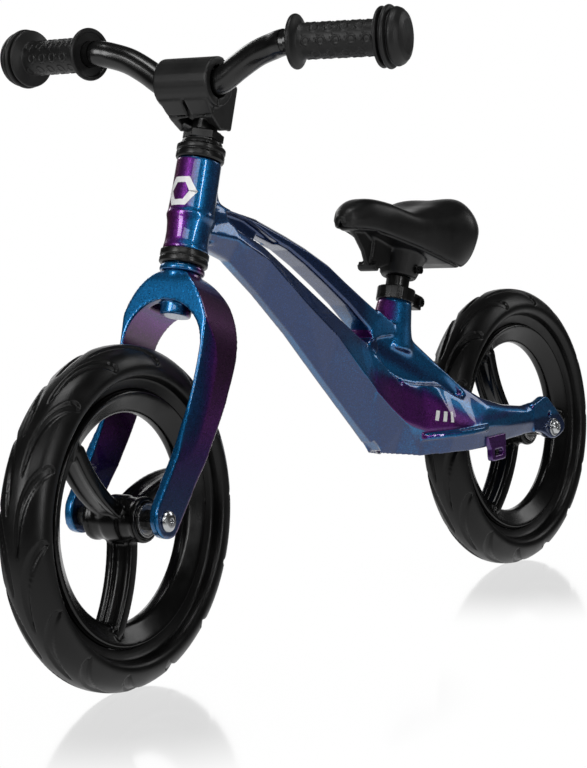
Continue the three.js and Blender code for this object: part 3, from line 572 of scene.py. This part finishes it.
def fork_casting():
    inner = [(ARCH_RADIUS * math.cos(a), ARCH_CENTRE + ARCH_RADIUS * math.sin(a)) for a in np.linspace(0, math.pi, 40)]
    outer = [(46, -20)] + [tuple(p) for p in spline(ARCH_OUTER[1:], 6)]
    arch = outer + [(-y, z) for y, z in reversed(outer)] + [(-38.4, -20)] + list(reversed(inner)) + [(38.4, -20)]
    side = [tuple(p) for p in spline(FORK_SIDE, 4, closed=True)]
    body = prism("Fork_casting", side, -60, 60, STEER)
    front = prism("Arch", arch, -60, 60, STEER, plane="yz")
    both = body.modifiers.new("Both", "BOOLEAN")
    both.operation = "INTERSECT"
    both.solver = "EXACT"
    both.object = front
    bake(body)
    bpy.data.objects.remove(front)
    bevels = []
    runs = spline([(45, 33, 0.0), (58, 29, 0.12), (74, 24.2, 0.55), (96, 19.2, 1.0), (120, 15.9, 1.0), (150, 14.9, 1.0),
                   (185, 17.2, 1.0), (216, 17.2, 1.0)], 3)
    for sign in (1, -1):
        rows = []
        for z, front, share in runs:
            crease = front - 22
            curve = [(crease + d, sign * (46.1 - share * 5.2 * (d / 22) ** 1.6)) for d in (44, 30, 22, 17, 12, 7, 3, 0)]
            rows.append([(crease, sign * 60, z), (crease + 44, sign * 60, z)] + [(x, y, z) for x, y in curve])
        bevels.append(surface("Bevel", np.array(rows, float), False, True, STEER, caps=True))
    hollow = [(-20, 176), (8.5, 176), (8.5, 190), (4, 195), (-15, 195), (-20, 188)]
    bevels.append(prism("Hollow", hollow, -21, 21, STEER))
    carve(body, bevels)
    axle = lathe("Bore", [(0, -60), (3.2, -60), (3.2, 60), (0, 60)], STEER @ Matrix.Translation((0.03, 0, 0)), "y", 32,
                 closed=False, soft=0)
    carve(body, [axle])
    steerer = [(11.5, 216), (11.5, 334), (12.7, 334), (12.7, 213), (16.9, 212), (16.9, 203), (13.2, 196), (13.2, 176.5),
               (12.4, 175.6), (0.01, 175.6), (0.01, 216)]
    parts = [body, lathe("steerer", steerer, STEER, "z", 72, closed=True, soft=0.3)]
    return finish_piece(cast(joined("Fork_casting", parts), 1.0, 7), FORK_PAINT, "fork", "paint", "fork")


def bar_along(name, path, half_width, half_depth, tip):
    """A rounded bar along a path in the X-Z plane, with a rounded far end."""
    tangents = np.gradient(path, axis=0)
    tangents /= np.linalg.norm(tangents, axis=1)[:, None]
    sides = np.cross(tangents, (0, 1, 0))
    angles = np.linspace(0, TAU, 20, endpoint=False)
    c, s = np.cos(angles), np.sin(angles)
    u = np.sign(c) * np.abs(c) ** 0.45
    v = np.sign(s) * np.abs(s) ** 0.45
    reach = np.linalg.norm(path - path[-1], axis=1)
    shrink = np.sqrt(np.clip(1 - (1 - np.clip(reach / tip, 0, 1)) ** 2, 0.02, 1))
    rows = [p + a * (half_width * u)[:, None] * side + (half_depth * v)[:, None] * np.array((0, 1.0, 0))
            for p, side, a in zip(path, sides, shrink)]
    return surface(name, np.array(rows), False, True, caps=True)


frame_piece = frame_casting()
fork_casting()
BRACKET = [(-218, 132), (-218, 145), (-184, 145), (-187, 137), (-190, 132)]
loop_eye = joined("Strap_loop_eye", [copy_of("strap_loop", "Loop"), prism("Bracket", BRACKET, 46.2, 51.3)])
finish_piece(cast(loop_eye, 0.6, 5), LOOP_PAINT, "frame", "loop_paint", "strap_loop")


# ---- tyres ----
TYRE_RADIUS = 140.0
TREAD_REPEATS = 14
TREAD_DEPTH = 1.9
LEAF_LENGTH = 74.0


def tread_depth(arc, across):
    """How far the tread is pressed in, from the distance round the tyre and across it."""
    pitch = TAU * TYRE_RADIUS / TREAD_REPEATS
    side = np.abs(across)
    shift = np.where(across > 0, 0.0, pitch / 2)
    depth = np.zeros_like(arc)
    for lap in (0, 1):
        along = np.mod(arc - shift + 8, pitch) - 8 + lap * pitch
        line = 4.0 + 21.0 * np.exp(-np.clip(along, 0, None) / 21.0)
        slope = -np.exp(-np.clip(along, 0, None) / 21.0)
        width = 4.6 * np.sqrt(np.clip(1 - along / LEAF_LENGTH, 0, 1))
        inside = width - np.abs(side - line) / np.sqrt(1 + slope ** 2)
        start = 4.6 - np.hypot(along, side - 25.0)
        leaf = np.where(along < 0, start, np.where(along < 3, np.maximum(inside, start), inside))
        wall = np.clip(leaf / 1.4, 0, 1)
        depth = np.maximum(depth, wall * wall * (3 - 2 * wall))
    return depth * TREAD_DEPTH


def tyre(name, matrix):
    half = [(139.7, 5), (138.3, 10), (134.4, 16), (129, 20.3), (123.4, 22.5), (118.2, 22.2), (115.1, 19.8),
            (113.9, 16), (112.9, 12.6), (109, 10.6), (105.1, 9.3)]
    loop = [(r, -y) for r, y in reversed(half)] + [(TYRE_RADIUS, 0)] + half
    profile = spline(loop, 5)
    steps = np.hypot(*np.diff(profile, axis=0).T)
    across = np.concatenate([[0], np.cumsum(steps)])
    across -= across[np.argmax(profile[:, 0])]
    angles = np.linspace(0, TAU, 980, endpoint=False)
    arc = -angles[:, None] * TYRE_RADIUS + 0 * across[None, :]
    depth = tread_depth(np.mod(arc, TAU * TYRE_RADIUS), across[None, :] + 0 * arc)
    normal = np.gradient(profile, axis=0)
    normal /= np.linalg.norm(normal, axis=1)[:, None]
    outward = np.stack([normal[:, 1], -normal[:, 0]], 1)
    r = profile[None, :, 0] - depth * outward[None, :, 0]
    y = profile[None, :, 1] - depth * outward[None, :, 1]
    points = np.stack([r * np.cos(angles)[:, None], y, r * np.sin(angles)[:, None]], -1)
    return surface(name, points, True, True, matrix, sharp=60)


# ---- wheel castings ----
SWIRL = math.radians(17)


def arm_path(angle, inner, outer, offset, y, steps=22):
    radii = np.linspace(inner, outer, steps)
    theta = angle - SWIRL * (1 - (radii - 18) / 78)
    return np.stack([radii * np.cos(theta) - offset * np.sin(theta), np.full(steps, float(y)),
                     radii * np.sin(theta) + offset * np.cos(theta)], 1)


def wheel_casting(name, matrix, first):
    rim_half = [(104.6, 8.8), (103.7, 12.8), (102.2, 14.1), (99.6, 13.2), (87.2, 5.8), (85.3, 3.4)]
    rim = lathe("rim", [(r, -y) for r, y in reversed(rim_half)] + rim_half, WORLD, "y", 144, soft=1.2)
    hub_half = [(9, 17.2), (14.3, 17.2), (14.3, 25.6), (18.6, 25.6), (18.9, 21), (17.6, 19), (17.8, 10), (19.4, 7)]
    hub = lathe("hub", hub_half + [(r, -y) for r, y in reversed(hub_half)], WORLD, "y", 72, soft=0.9)
    pieces = [rim, hub]
    for k in range(3):
        angle = first + k * TAU / 3
        for y in (8.9, -8.9):
            pieces.append(bar_along("arm", arm_path(angle, 13.5, 95.5, 0, y), 5.6, 3.9, 6.5))
        pieces.append(bar_along("web", arm_path(angle, 13, 87, -1.6, 0), 2.4, 7.0, 1.0))
    body = joined(name, pieces)
    cast(body, 1.25, 5)
    body.data.transform(matrix)
    return body


def bearing(name, matrix, sign):
    profile = [(6, 17.6), (14, 17.6), (14, 27.4), (12.6, 27.4), (12.5, 26.6), (12.1, 26.6), (12.0, 27.0), (8, 27.0),
               (7.9, 26.6), (7.5, 26.6), (7.4, 27.4), (6, 27.4)]
    return lathe(name, [(r, sign * y) for r, y in profile], matrix, "y", 64, soft=0.25)


def dome_bolt(name, matrix, face, radius, depth, sign):
    profile = [(0, face - 30), (3, face - 30), (3, face), (radius, face), (radius, face + 0.25 * depth),
               (0.93 * radius, face + 0.6 * depth), (0.62 * radius, face + 0.94 * depth),
               (2.9, face + depth), (2.5, face + depth - 0.4), (2.4, face + depth - 2.2), (0, face + depth - 2.4)]
    return lathe(name, [(r, sign * y) for r, y in profile], matrix, "y", 48, closed=False, soft=0.3)


DROPOUT_OUTER = {"front": 46.0, "rear": 52.5}
for end, matrix, first, holder in (("front", FRONT, 46, "fork"), ("rear", REAR, 62, "frame")):
    body = end + "_wheel"
    title = end.capitalize()
    finish_piece(tyre(f"{title}_foam_tyre", matrix), FOAM, body, "tyre_foam", f"{end}_tyre")
    finish_piece(wheel_casting(f"{title}_wheel_casting", matrix, math.radians(first)), GLOSS_BLACK, body,
                 "wheel_black", f"{end}_wheel")
    for side, sign in (("left", 1), ("right", -1)):
        finish_piece(bearing(f"{title}_bearing_{side}_ring", matrix, sign), SHIELD, body, "bright_steel",
                     f"{end}_bearing_{side}")
        face = DROPOUT_OUTER[end] + 0.3
        if end == "rear":
            rim = [(3.3, face), (8.8, face), (8.8, face + 2), (3.3, face + 2)]
            washer = lathe(f"Rear_washer_{side}_ring", [(r, sign * y) for r, y in rim], matrix, "y", 48, soft=0.5)
            finish_piece(washer, STEEL, holder, "bright_steel", f"rear_washer_{side}")
            face += 2.3
        radius, depth = (8.6, 3.8) if end == "front" else (6.6, 4.0)
        finish_piece(dome_bolt(f"{title}_bolt_{side}_button", matrix, face, radius, depth, sign), STEEL, holder,
                     "bright_steel", f"{end}_bolt_{side}")


# ---- headset ----
HEAD_BOTTOM, HEAD_TOP = 231.0, 310.0
lower = [(13.4, 219), (19.2, 219), (20.6, 220.4), (20.6, 224), (19.9, 224.6), (19.9, 225.4), (20.6, 226),
         (20.6, HEAD_BOTTOM - 0.3), (16.3, HEAD_BOTTOM - 0.3), (16.3, 243), (14.8, 243), (13.4, HEAD_BOTTOM - 0.3)]
finish_piece(lathe("Lower_cup_ring", lower, HEAD, "z", 96), HEADSET_BLACK,
             "frame", "black_steel", "lower_cup")
race = [(13.2, 212.4), (18.4, 212.4), (19.2, 214), (18.9, 216.4), (17.6, 218.4), (13.2, 218.4)]
finish_piece(lathe("Crown_race_ring", race, STEER, "z", 96, soft=0.8), FORK_PAINT, "fork", "paint", "crown_race")
upper = [(13.4, 323), (19.6, 323), (20.8, 321.8), (20.8, 318.2), (19.7, 317.6), (19.7, 316.6), (20.6, 316),
         (20.6, 312), (19.6, HEAD_TOP + 0.3), (16.3, HEAD_TOP + 0.3), (16.3, 298), (14.8, 298), (13.4, HEAD_TOP)]
finish_piece(lathe("Upper_cup_ring", upper, HEAD, "z", 96), HEADSET_BLACK, "frame", "black_steel", "upper_cup")
finish_piece(lathe("Upper_cone_ring", [(13.2, 323.3), (17.6, 323.3), (17.2, 326.6), (13.2, 326.6)], STEER, "z", 72),
             HEADSET_BLACK, "fork", "black_steel", "upper_cone")


def hex_nut(name, bore, across, low, high, matrix):
    """A hexagonal nut with a chamfered crown."""
    angles = np.linspace(0, TAU, 72, endpoint=False)
    flat = across / np.cos(np.mod(angles, TAU / 6) - TAU / 12)
    line = [(bore, low), (1.0, low), (1.0, high - 1.4), (0.93, high), (bore, high)]
    rows = []
    for angle, reach in zip(angles, flat):
        row = []
        for r, h in line:
            radius = r if r > 2 else min(r * reach, reach * r if h < high else across * 0.98)
            row.append((radius * math.cos(angle), radius * math.sin(angle), h))
        rows.append(row)
    return surface(name, np.array(rows), True, True, matrix, sharp=25)


finish_piece(hex_nut("Lock_nut_hex", 13.2, 15.0, 328.5, 336, STEER), HEADSET_BLACK, "fork", "black_steel", "locknut")

# ---- handlebar, grips and pad ----
BAR_RADIUS = 11.1
BAR_X, BAR_Z = 27.0, 369.0
GRIP_INNER = np.array((38.4, 105.5, 396.8))
GRIP_OUTER = np.array((25.4, 182.0, 401.4))
GRIP_WAY = (GRIP_OUTER - GRIP_INNER) / np.linalg.norm(GRIP_OUTER - GRIP_INNER)
GRIP_LENGTH = float(np.linalg.norm(GRIP_OUTER - GRIP_INNER))


def handlebar():
    half = [(BAR_X, 10, BAR_Z), (BAR_X, 20, BAR_Z), (BAR_X + 1, 30, BAR_Z + 2.2), (BAR_X + 3.6, 46, BAR_Z + 12),
            (BAR_X + 7, 64, BAR_Z + 21), (BAR_X + 10.2, 82, BAR_Z + 25.8), GRIP_INNER - 12 * GRIP_WAY, GRIP_INNER,
            GRIP_OUTER + 9 * GRIP_WAY]
    mirror = [(p[0], -p[1], p[2]) for p in reversed(half)]
    path = spline(mirror + [(BAR_X, 0, BAR_Z)] + half, 8)
    return sweep("Handlebar_tube", path, circle(BAR_RADIUS, 32), STEER)


def grip(name, sign):
    """A rubber grip with a dished inner flange, a stepped end flange and raised rings with dots."""
    bore = BAR_RADIUS + 0.3
    end = GRIP_LENGTH
    line = [(bore, -1.5), (18.5, -1.5), (19.3, -3.2), (22, -3.4), (22.7, -1.6), (22.3, 0.2), (18.8, 2), (15.6, 4)]
    line += [(14.8, 7)] + [(14.7, h) for h in np.arange(8, end - 9, 0.9)] + [(15, end - 8)]
    line += [(24.2, end - 6.2), (25, end - 4.6), (24.2, end - 3.4), (20.8, end - 2.6), (20.8, end - 1.2),
             (25.2, end - 0.4), (26, end + 1.4), (25.2, end + 3.2), (21.4, end + 4), (21.4, end + 5.2),
             (23.6, end + 6), (24, end + 8), (22.6, end + 11.5), (19.5, end + 14.6), (14, end + 16.5), (0.01, end + 17)]
    profile = softened(line, 0.7, closed=False, steps=2)
    angles = np.linspace(0, TAU, 200, endpoint=False)
    r = np.repeat(profile[None, :, 0], len(angles), 0)
    h = np.repeat(profile[None, :, 1], len(angles), 0)
    on_body = (h > 7.5) & (h < end - 8.5) & (r < 16.5)
    around = angles[:, None] * 14.8 + 0 * h
    raised = np.zeros_like(r)
    columns, pitch = 8, 13.0
    step = TAU * 14.8 / columns
    for column in range(columns):
        for row in range(6):
            x0 = (column + 0.5) * step
            h0 = 12 + row * pitch + (pitch / 2 if column % 2 else 0)
            if h0 > end - 13:
                continue
            dx = np.mod(around - x0 + step * columns / 2, step * columns) - step * columns / 2
            dh = h - h0
            distance = np.hypot(dx, dh)
            raised = np.maximum(raised, np.clip(1.6 - np.abs(distance - 3.4) / 0.6, 0, 1))
            for k in range(5):
                turn = math.radians(100 + 34 * k) + column
                dot = np.hypot(dx - 5.7 * math.cos(turn), dh - 5.7 * math.sin(turn))
                raised = np.maximum(raised, np.clip(1.5 - dot / 0.5, 0, 1) * 0.8)
    r = r + 0.55 * raised * on_body
    way = Vector((GRIP_WAY[0], sign * GRIP_WAY[1], GRIP_WAY[2]))
    place = STEER @ axes_at(Vector((GRIP_INNER[0], sign * GRIP_INNER[1], GRIP_INNER[2])) * MM, way, (1, 0, 0))
    points = np.stack([r * np.cos(angles)[:, None], r * np.sin(angles)[:, None], h], -1)
    return surface(name, points, True, False, place, sharp=60)


finish_piece(handlebar(), BAR_BLACK, "bars", "black_steel", "handlebar")
finish_piece(grip("Grip_left_rubber", 1), RUBBER, "bars", "grip_rubber", "grip_left")
finish_piece(grip("Grip_right_rubber", -1), RUBBER, "bars", "grip_rubber", "grip_right")
finish_piece(cast(copy_of("pad_front", "Pad_front_shell"), 0.8, 14), PAD, "bars", "pad_plastic", "pad_front")
finish_piece(cast(copy_of("pad_rear", "Pad_rear_shell"), 0.8, 14), PAD, "bars", "pad_plastic", "pad_rear")
finish_piece(cast(copy_of("stem", "Stem_forging"), 0.8, 4), HEADSET_BLACK, "bars", "black_steel", "stem")

# ---- saddle ----
SADDLE = [
    # x, half width, crown, shoulder, skirt, skirt half width
    (-27, 6, 367, 363, 357, 5), (-36, 13, 375.5, 369, 355.5, 12), (-58, 20, 381.5, 372.5, 352, 19),
    (-86, 26, 377.5, 368, 343, 25), (-115, 37, 368.5, 358, 331, 35), (-145, 50, 371, 357, 316, 47),
    (-168, 57, 376, 358, 310.5, 42), (-187, 51, 376, 355, 322, 38), (-200, 40, 371, 350, 333, 33),
    (-207, 24, 360, 347, 339, 22),
]


def saddle_cushion():
    """The padded top: a crowned form from nose to tail with its edge rolled under."""
    rows = []
    for x, half, crown, shoulder, skirt, skirt_half in spline(SADDLE, 6):
        wings = max(0.0, min(1.0, (-x - 100) / 60)) * max(0.0, min(1.0, (212 + x) / 25))
        side = [(0, crown - 2.2 * wings), (0.3 * half, crown - 0.4 * wings), (0.58 * half, crown - 1.2),
                (0.83 * half, 0.45 * crown + 0.55 * shoulder), (0.97 * half, shoulder - 3),
                (0.99 * half + 0.3, 0.55 * shoulder + 0.45 * skirt), (0.5 * half + 0.5 * skirt_half, skirt + 6),
                (skirt_half, skirt + 0.6), (skirt_half - 2.4, skirt), (skirt_half - 3.4, skirt + 3)]
        floor = [(0.6 * (skirt_half - 3.4), skirt + 8), (0.25 * (skirt_half - 3.4), skirt + 9)]
        ring = side + floor
        ring += [(-y, z) for y, z in reversed(ring[1:])]
        rows.append([(x, y, z) for y, z in ring])
    points = np.array(rows)
    obj = surface("Saddle_cushion_skin", points, False, True, caps=True, sharp=180)
    smooth = obj.modifiers.new("Soft", "SUBSURF")
    smooth.levels = 2
    smooth.render_levels = 2
    return bake(obj)


cushion = finish_piece(saddle_cushion(), HIDE, "seat", "cushion", "saddle_cushion")
FIN_POCKET = [(-27, 353), (-43.4, 353), (-63, 351), (-75, 342.3), (-71.5, 331.4), (-66.6, 320.5), (-58, 320),
              (-51, 326), (-42, 340), (-32, 349)]


def saddle_base():
    """The moulded underside: a fin with recessed flanks and a rounded rim, and the socket cone."""
    body = carve(copy_of("saddle_base", "Saddle_base_shell"), both_sides("Flank", FIN_POCKET, 2.2, 60))
    return ease(cast(body, 0.9, 7), 30, lambda points: 0.8 * step(points[:, 0], -0.072, -0.085))


finish_piece(saddle_base(), BASE, "seat", "base_plastic", "saddle_base")
post = [(9.3, -114), (11.1, -114), (11.1, 38), (9.3, 38)]
finish_piece(lathe("Seat_post_tube", post, SEAT, "z", 48), BAR_BLACK, "seat", "black_steel", "seat_post")
collar_ribs = lathe("Ribs", [(16.2, -11.6), (18.0, -11.6), (18.0, 0.4), (16.2, 0.4)], SEAT, "z", 240,
                    flutes=(22, 0.45, -10.8, -0.4, 17))
collar = joined("Seat_clamp_collar", [copy_of("seat_clamp", "Collar"), collar_ribs])
finish_piece(cast(collar, 0.5, 3), HEADSET_BLACK, "frame", "black_steel", "seat_clamp")


# ---- decals ----
def decal(name, target, origin, right, up, outline_rows, material, lift=0.15):
    """A thin printed patch: a grid of (u, v) millimetre points laid on the target's skin."""
    tree = BVHTree.FromObject(target, bpy.context.evaluated_depsgraph_get())
    right, up = Vector(right).normalized(), Vector(up).normalized()
    out = right.cross(up)
    outline_rows = [[(float(u), float(v)) for u, v in row] for row in outline_rows]
    rows, columns = len(outline_rows), len(outline_rows[0])
    top, bottom = [], []
    for row in outline_rows:
        for u, v in row:
            start = Vector(origin) + (u * right + v * up) * MM + out * 0.08
            hit, normal, _, _ = tree.ray_cast(start, -out)
            if hit is None:
                hit, normal = start - out * 0.08, out
            top.append(hit + normal * lift * MM)
            bottom.append(hit - normal * 0.2 * MM)
    count = rows * columns
    faces = []
    for i in range(rows - 1):
        for j in range(columns - 1):
            quad = (i * columns + j, i * columns + j + 1, (i + 1) * columns + j + 1, (i + 1) * columns + j)
            faces.append(quad)
            faces.append(tuple(k + count for k in reversed(quad)))
    border = ([i * columns for i in range(rows)] + [(rows - 1) * columns + j for j in range(1, columns)]
              + [i * columns + columns - 1 for i in range(rows - 2, -1, -1)] + list(range(columns - 2, 0, -1)))
    for a, b in zip(border, border[1:] + border[:1]):
        faces.append((a, b, b + count, a + count))
    points = np.array([tuple(p / MM) for p in top + bottom])
    obj = mesh_object(name, points, faces)
    return finish_piece(obj, material, "frame", "paint")


def ring_rows(outer, inner, sides, turn=0.0):
    """A polygon ring as rows of points round it."""
    rows = []
    count = sides * 8
    for i in range(count + 1):
        angle = TAU * i / count + turn
        reach = 1 / math.cos(math.fmod(TAU * i / count, TAU / sides) - TAU / sides / 2)
        rows.append([(r * reach * math.cos(angle), r * reach * math.sin(angle))
                     for r in np.linspace(inner, outer, 4)])
    return rows


badge_origin = HEAD @ (Vector((18.4, 0, 279)) * MM)
head_side = HEAD.to_3x3() @ Vector((0, 1, 0))
decal("Head_badge_ring", frame_piece, badge_origin, head_side, STEER_AXIS, ring_rows(12.4, 7.4, 6), WHITE)
for k in range(3):
    left = -14 + 7 * k
    bar = [[(left + 3.2 * i / 8 + 2.6 * j / 4, -4.5 + 2.25 * j) for i in range(9)] for j in range(5)]
    decal(f"Flank_mark_{k + 1}", frame_piece, Vector((-131, 38, 172)) * MM, (-1, -0.17, -0.02), (-0.07, 0.3, 1), bar,
          WHITE)

# ---- the CAD nodes that keep their own mesh ----
CARRIED = {
    STEEL: ["lower_bearing", "upper_bearing", "front_axle", "rear_axle",
            "front_hub_sleeve", "rear_hub_sleeve", "stem_wedge", "stem_bolt"],
    HEADSET_BLACK: ["lock_washer", "saddle_screw", "seat_clamp_bolt", "seat_clamp_nut",
                    "front_spacer_left", "front_spacer_right", "rear_spacer_left", "rear_spacer_right"],
}
for material, names in CARRIED.items():
    for name in names:
        NODES[name].data.materials.clear()
        NODES[name].data.materials.append(material)


# ---- floor, light and camera ----
def stage_floor():
    """A white floor that blends into the backdrop and mirrors the wheels faintly."""
    size = 12.0
    mesh = bpy.data.meshes.new("Floor")
    mesh.from_pydata([(-size, -size, 0), (size, -size, 0), (size, size, 0), (-size, size, 0)], [], [(0, 1, 2, 3)])
    floor = bpy.data.objects.new("Floor", mesh)
    bpy.context.scene.collection.objects.link(floor)
    floor.location.z = -0.0004
    floor.visible_diffuse = False
    floor.visible_glossy = False
    material = bpy.data.materials.new("Floor_white")
    material.use_nodes = True
    tree = material.node_tree
    tree.nodes.clear()
    output = add(tree, "ShaderNodeOutputMaterial")
    glow = add(tree, "ShaderNodeEmission", Strength=1.0)
    glow.inputs["Color"].default_value = (1, 1, 1, 1)
    mirror = add(tree, "ShaderNodeBsdfGlossy", Roughness=0.1)
    mirror.inputs["Color"].default_value = (1, 1, 1, 1)
    mix = add(tree, "ShaderNodeMixShader")
    place = add(tree, "ShaderNodeTexCoord")
    gaps = []
    for ahead in (0.35, -0.26):
        gap = add(tree, "ShaderNodeVectorMath", operation="DISTANCE")
        gap.inputs[1].default_value = (ahead, 0.05, 0)
        tree.links.new(place.outputs["Object"], gap.inputs[0])
        gaps.append(gap.outputs["Value"])
    near = sums(tree, "MINIMUM", *gaps)
    tree.links.new(spread(tree, near, 0.08, MIRROR_FADE, FLOOR_MIRROR, 0.0), mix.inputs["Fac"])
    tree.links.new(glow.outputs[0], mix.inputs[1])
    tree.links.new(mirror.outputs[0], mix.inputs[2])
    tree.links.new(mix.outputs[0], output.inputs["Surface"])
    mesh.materials.append(material)


def softbox(name, azimuth, height, distance, wide, tall, power):
    """A rectangular studio light at an azimuth round the bike, turned towards it."""
    light = bpy.data.lights.new(name, "AREA")
    light.shape = "RECTANGLE"
    light.size = wide
    light.size_y = tall
    light.energy = power
    obj = bpy.data.objects.new(name, light)
    turn = math.radians(azimuth)
    place = Vector((distance * math.cos(turn), distance * math.sin(turn), height))
    obj.location = place
    obj.rotation_euler = (Vector((0, 0, AIM_HEIGHT)) - place).to_track_quat("-Z", "Y").to_euler()
    bpy.context.scene.collection.objects.link(obj)


AIM_HEIGHT = 0.28
FLOOR_MIRROR = 0.3
MIRROR_FADE = 0.27
BACKDROP_WAY = (-0.81, -0.586, 0.0)
ROOM_TONE = 0.035
FLOOR_TONE = 0.85


def studio_world():
    """A dark room over a pale floor, with a white backdrop behind the bike."""
    world = bpy.data.worlds.new("Studio")
    bpy.context.scene.world = world
    world.use_nodes = True
    tree = world.node_tree
    tree.nodes.clear()
    output = add(tree, "ShaderNodeOutputWorld")
    place = add(tree, "ShaderNodeTexCoord")
    split = add(tree, "ShaderNodeSeparateXYZ")
    tree.links.new(place.outputs["Generated"], split.inputs[0])
    floor_side = add(tree, "ShaderNodeMapRange", interpolation_type="SMOOTHSTEP")
    for key, value in (("From Min", -0.42), ("From Max", -0.12), ("To Min", FLOOR_TONE), ("To Max", ROOM_TONE)):
        floor_side.inputs[key].default_value = value
    tree.links.new(split.outputs["Z"], floor_side.inputs["Value"])
    back = add(tree, "ShaderNodeVectorMath", operation="DOT_PRODUCT")
    back.inputs[1].default_value = BACKDROP_WAY
    tree.links.new(place.outputs["Generated"], back.inputs[0])
    behind = add(tree, "ShaderNodeMapRange", interpolation_type="SMOOTHSTEP")
    for key, value in (("From Min", 0.88), ("From Max", 0.965), ("To Min", 0.0), ("To Max", 1.0)):
        behind.inputs[key].default_value = value
    tree.links.new(back.outputs["Value"], behind.inputs["Value"])
    tone = add(tree, "ShaderNodeMath", operation="MAXIMUM")
    tree.links.new(floor_side.outputs["Result"], tone.inputs[0])
    tree.links.new(behind.outputs["Result"], tone.inputs[1])
    room = add(tree, "ShaderNodeBackground", Strength=1.0)
    tree.links.new(tone.outputs["Value"], room.inputs["Color"])
    backdrop = add(tree, "ShaderNodeBackground", Strength=1.0)
    backdrop.inputs["Color"].default_value = (1, 1, 1, 1)
    path = add(tree, "ShaderNodeLightPath")
    mix = add(tree, "ShaderNodeMixShader")
    tree.links.new(path.outputs["Is Camera Ray"], mix.inputs["Fac"])
    tree.links.new(room.outputs[0], mix.inputs[1])
    tree.links.new(backdrop.outputs[0], mix.inputs[2])
    tree.links.new(mix.outputs[0], output.inputs["Surface"])


def camera():
    yaw, pitch, roll = math.radians(35.895), math.radians(5.214), math.radians(-3.127)
    s = -Vector((math.cos(yaw) * math.cos(pitch), math.sin(yaw) * math.cos(pitch), math.sin(pitch)))
    r = s.cross(Vector((0, 0, 1))).normalized()
    u = r.cross(s)
    right = math.cos(roll) * r + math.sin(roll) * u
    up = -math.sin(roll) * r + math.cos(roll) * u
    matrix = Matrix((right, up, -s)).transposed().to_4x4()
    matrix.translation = Vector((1.71599, 1.19882, 0.40869))
    data = bpy.data.cameras.new("Camera")
    data.sensor_width = 36
    data.lens = 108.326
    obj = bpy.data.objects.new("Camera", data)
    obj.matrix_world = matrix
    bpy.context.scene.collection.objects.link(obj)
    bpy.context.scene.camera = obj


stage_floor()
studio_world()
camera()
softbox("Strip_right", 74, 0.8, 2.4, 0.16, 1.7, 14)
softbox("Key_left", -8, 1.3, 2.6, 0.9, 1.3, 30)
softbox("Overhead", 40, 2.5, 0.5, 1.1, 0.6, 16)
softbox("Camera_fill", 30, 1.9, 2.6, 1.6, 0.6, 10)
softbox("Rear_fill", 150, 1.4, 2.6, 0.8, 1.2, 8)
softbox("Far_fill", 250, 1.6, 2.6, 1.4, 0.8, 14)
bpy.context.scene.view_settings.view_transform = "Standard"
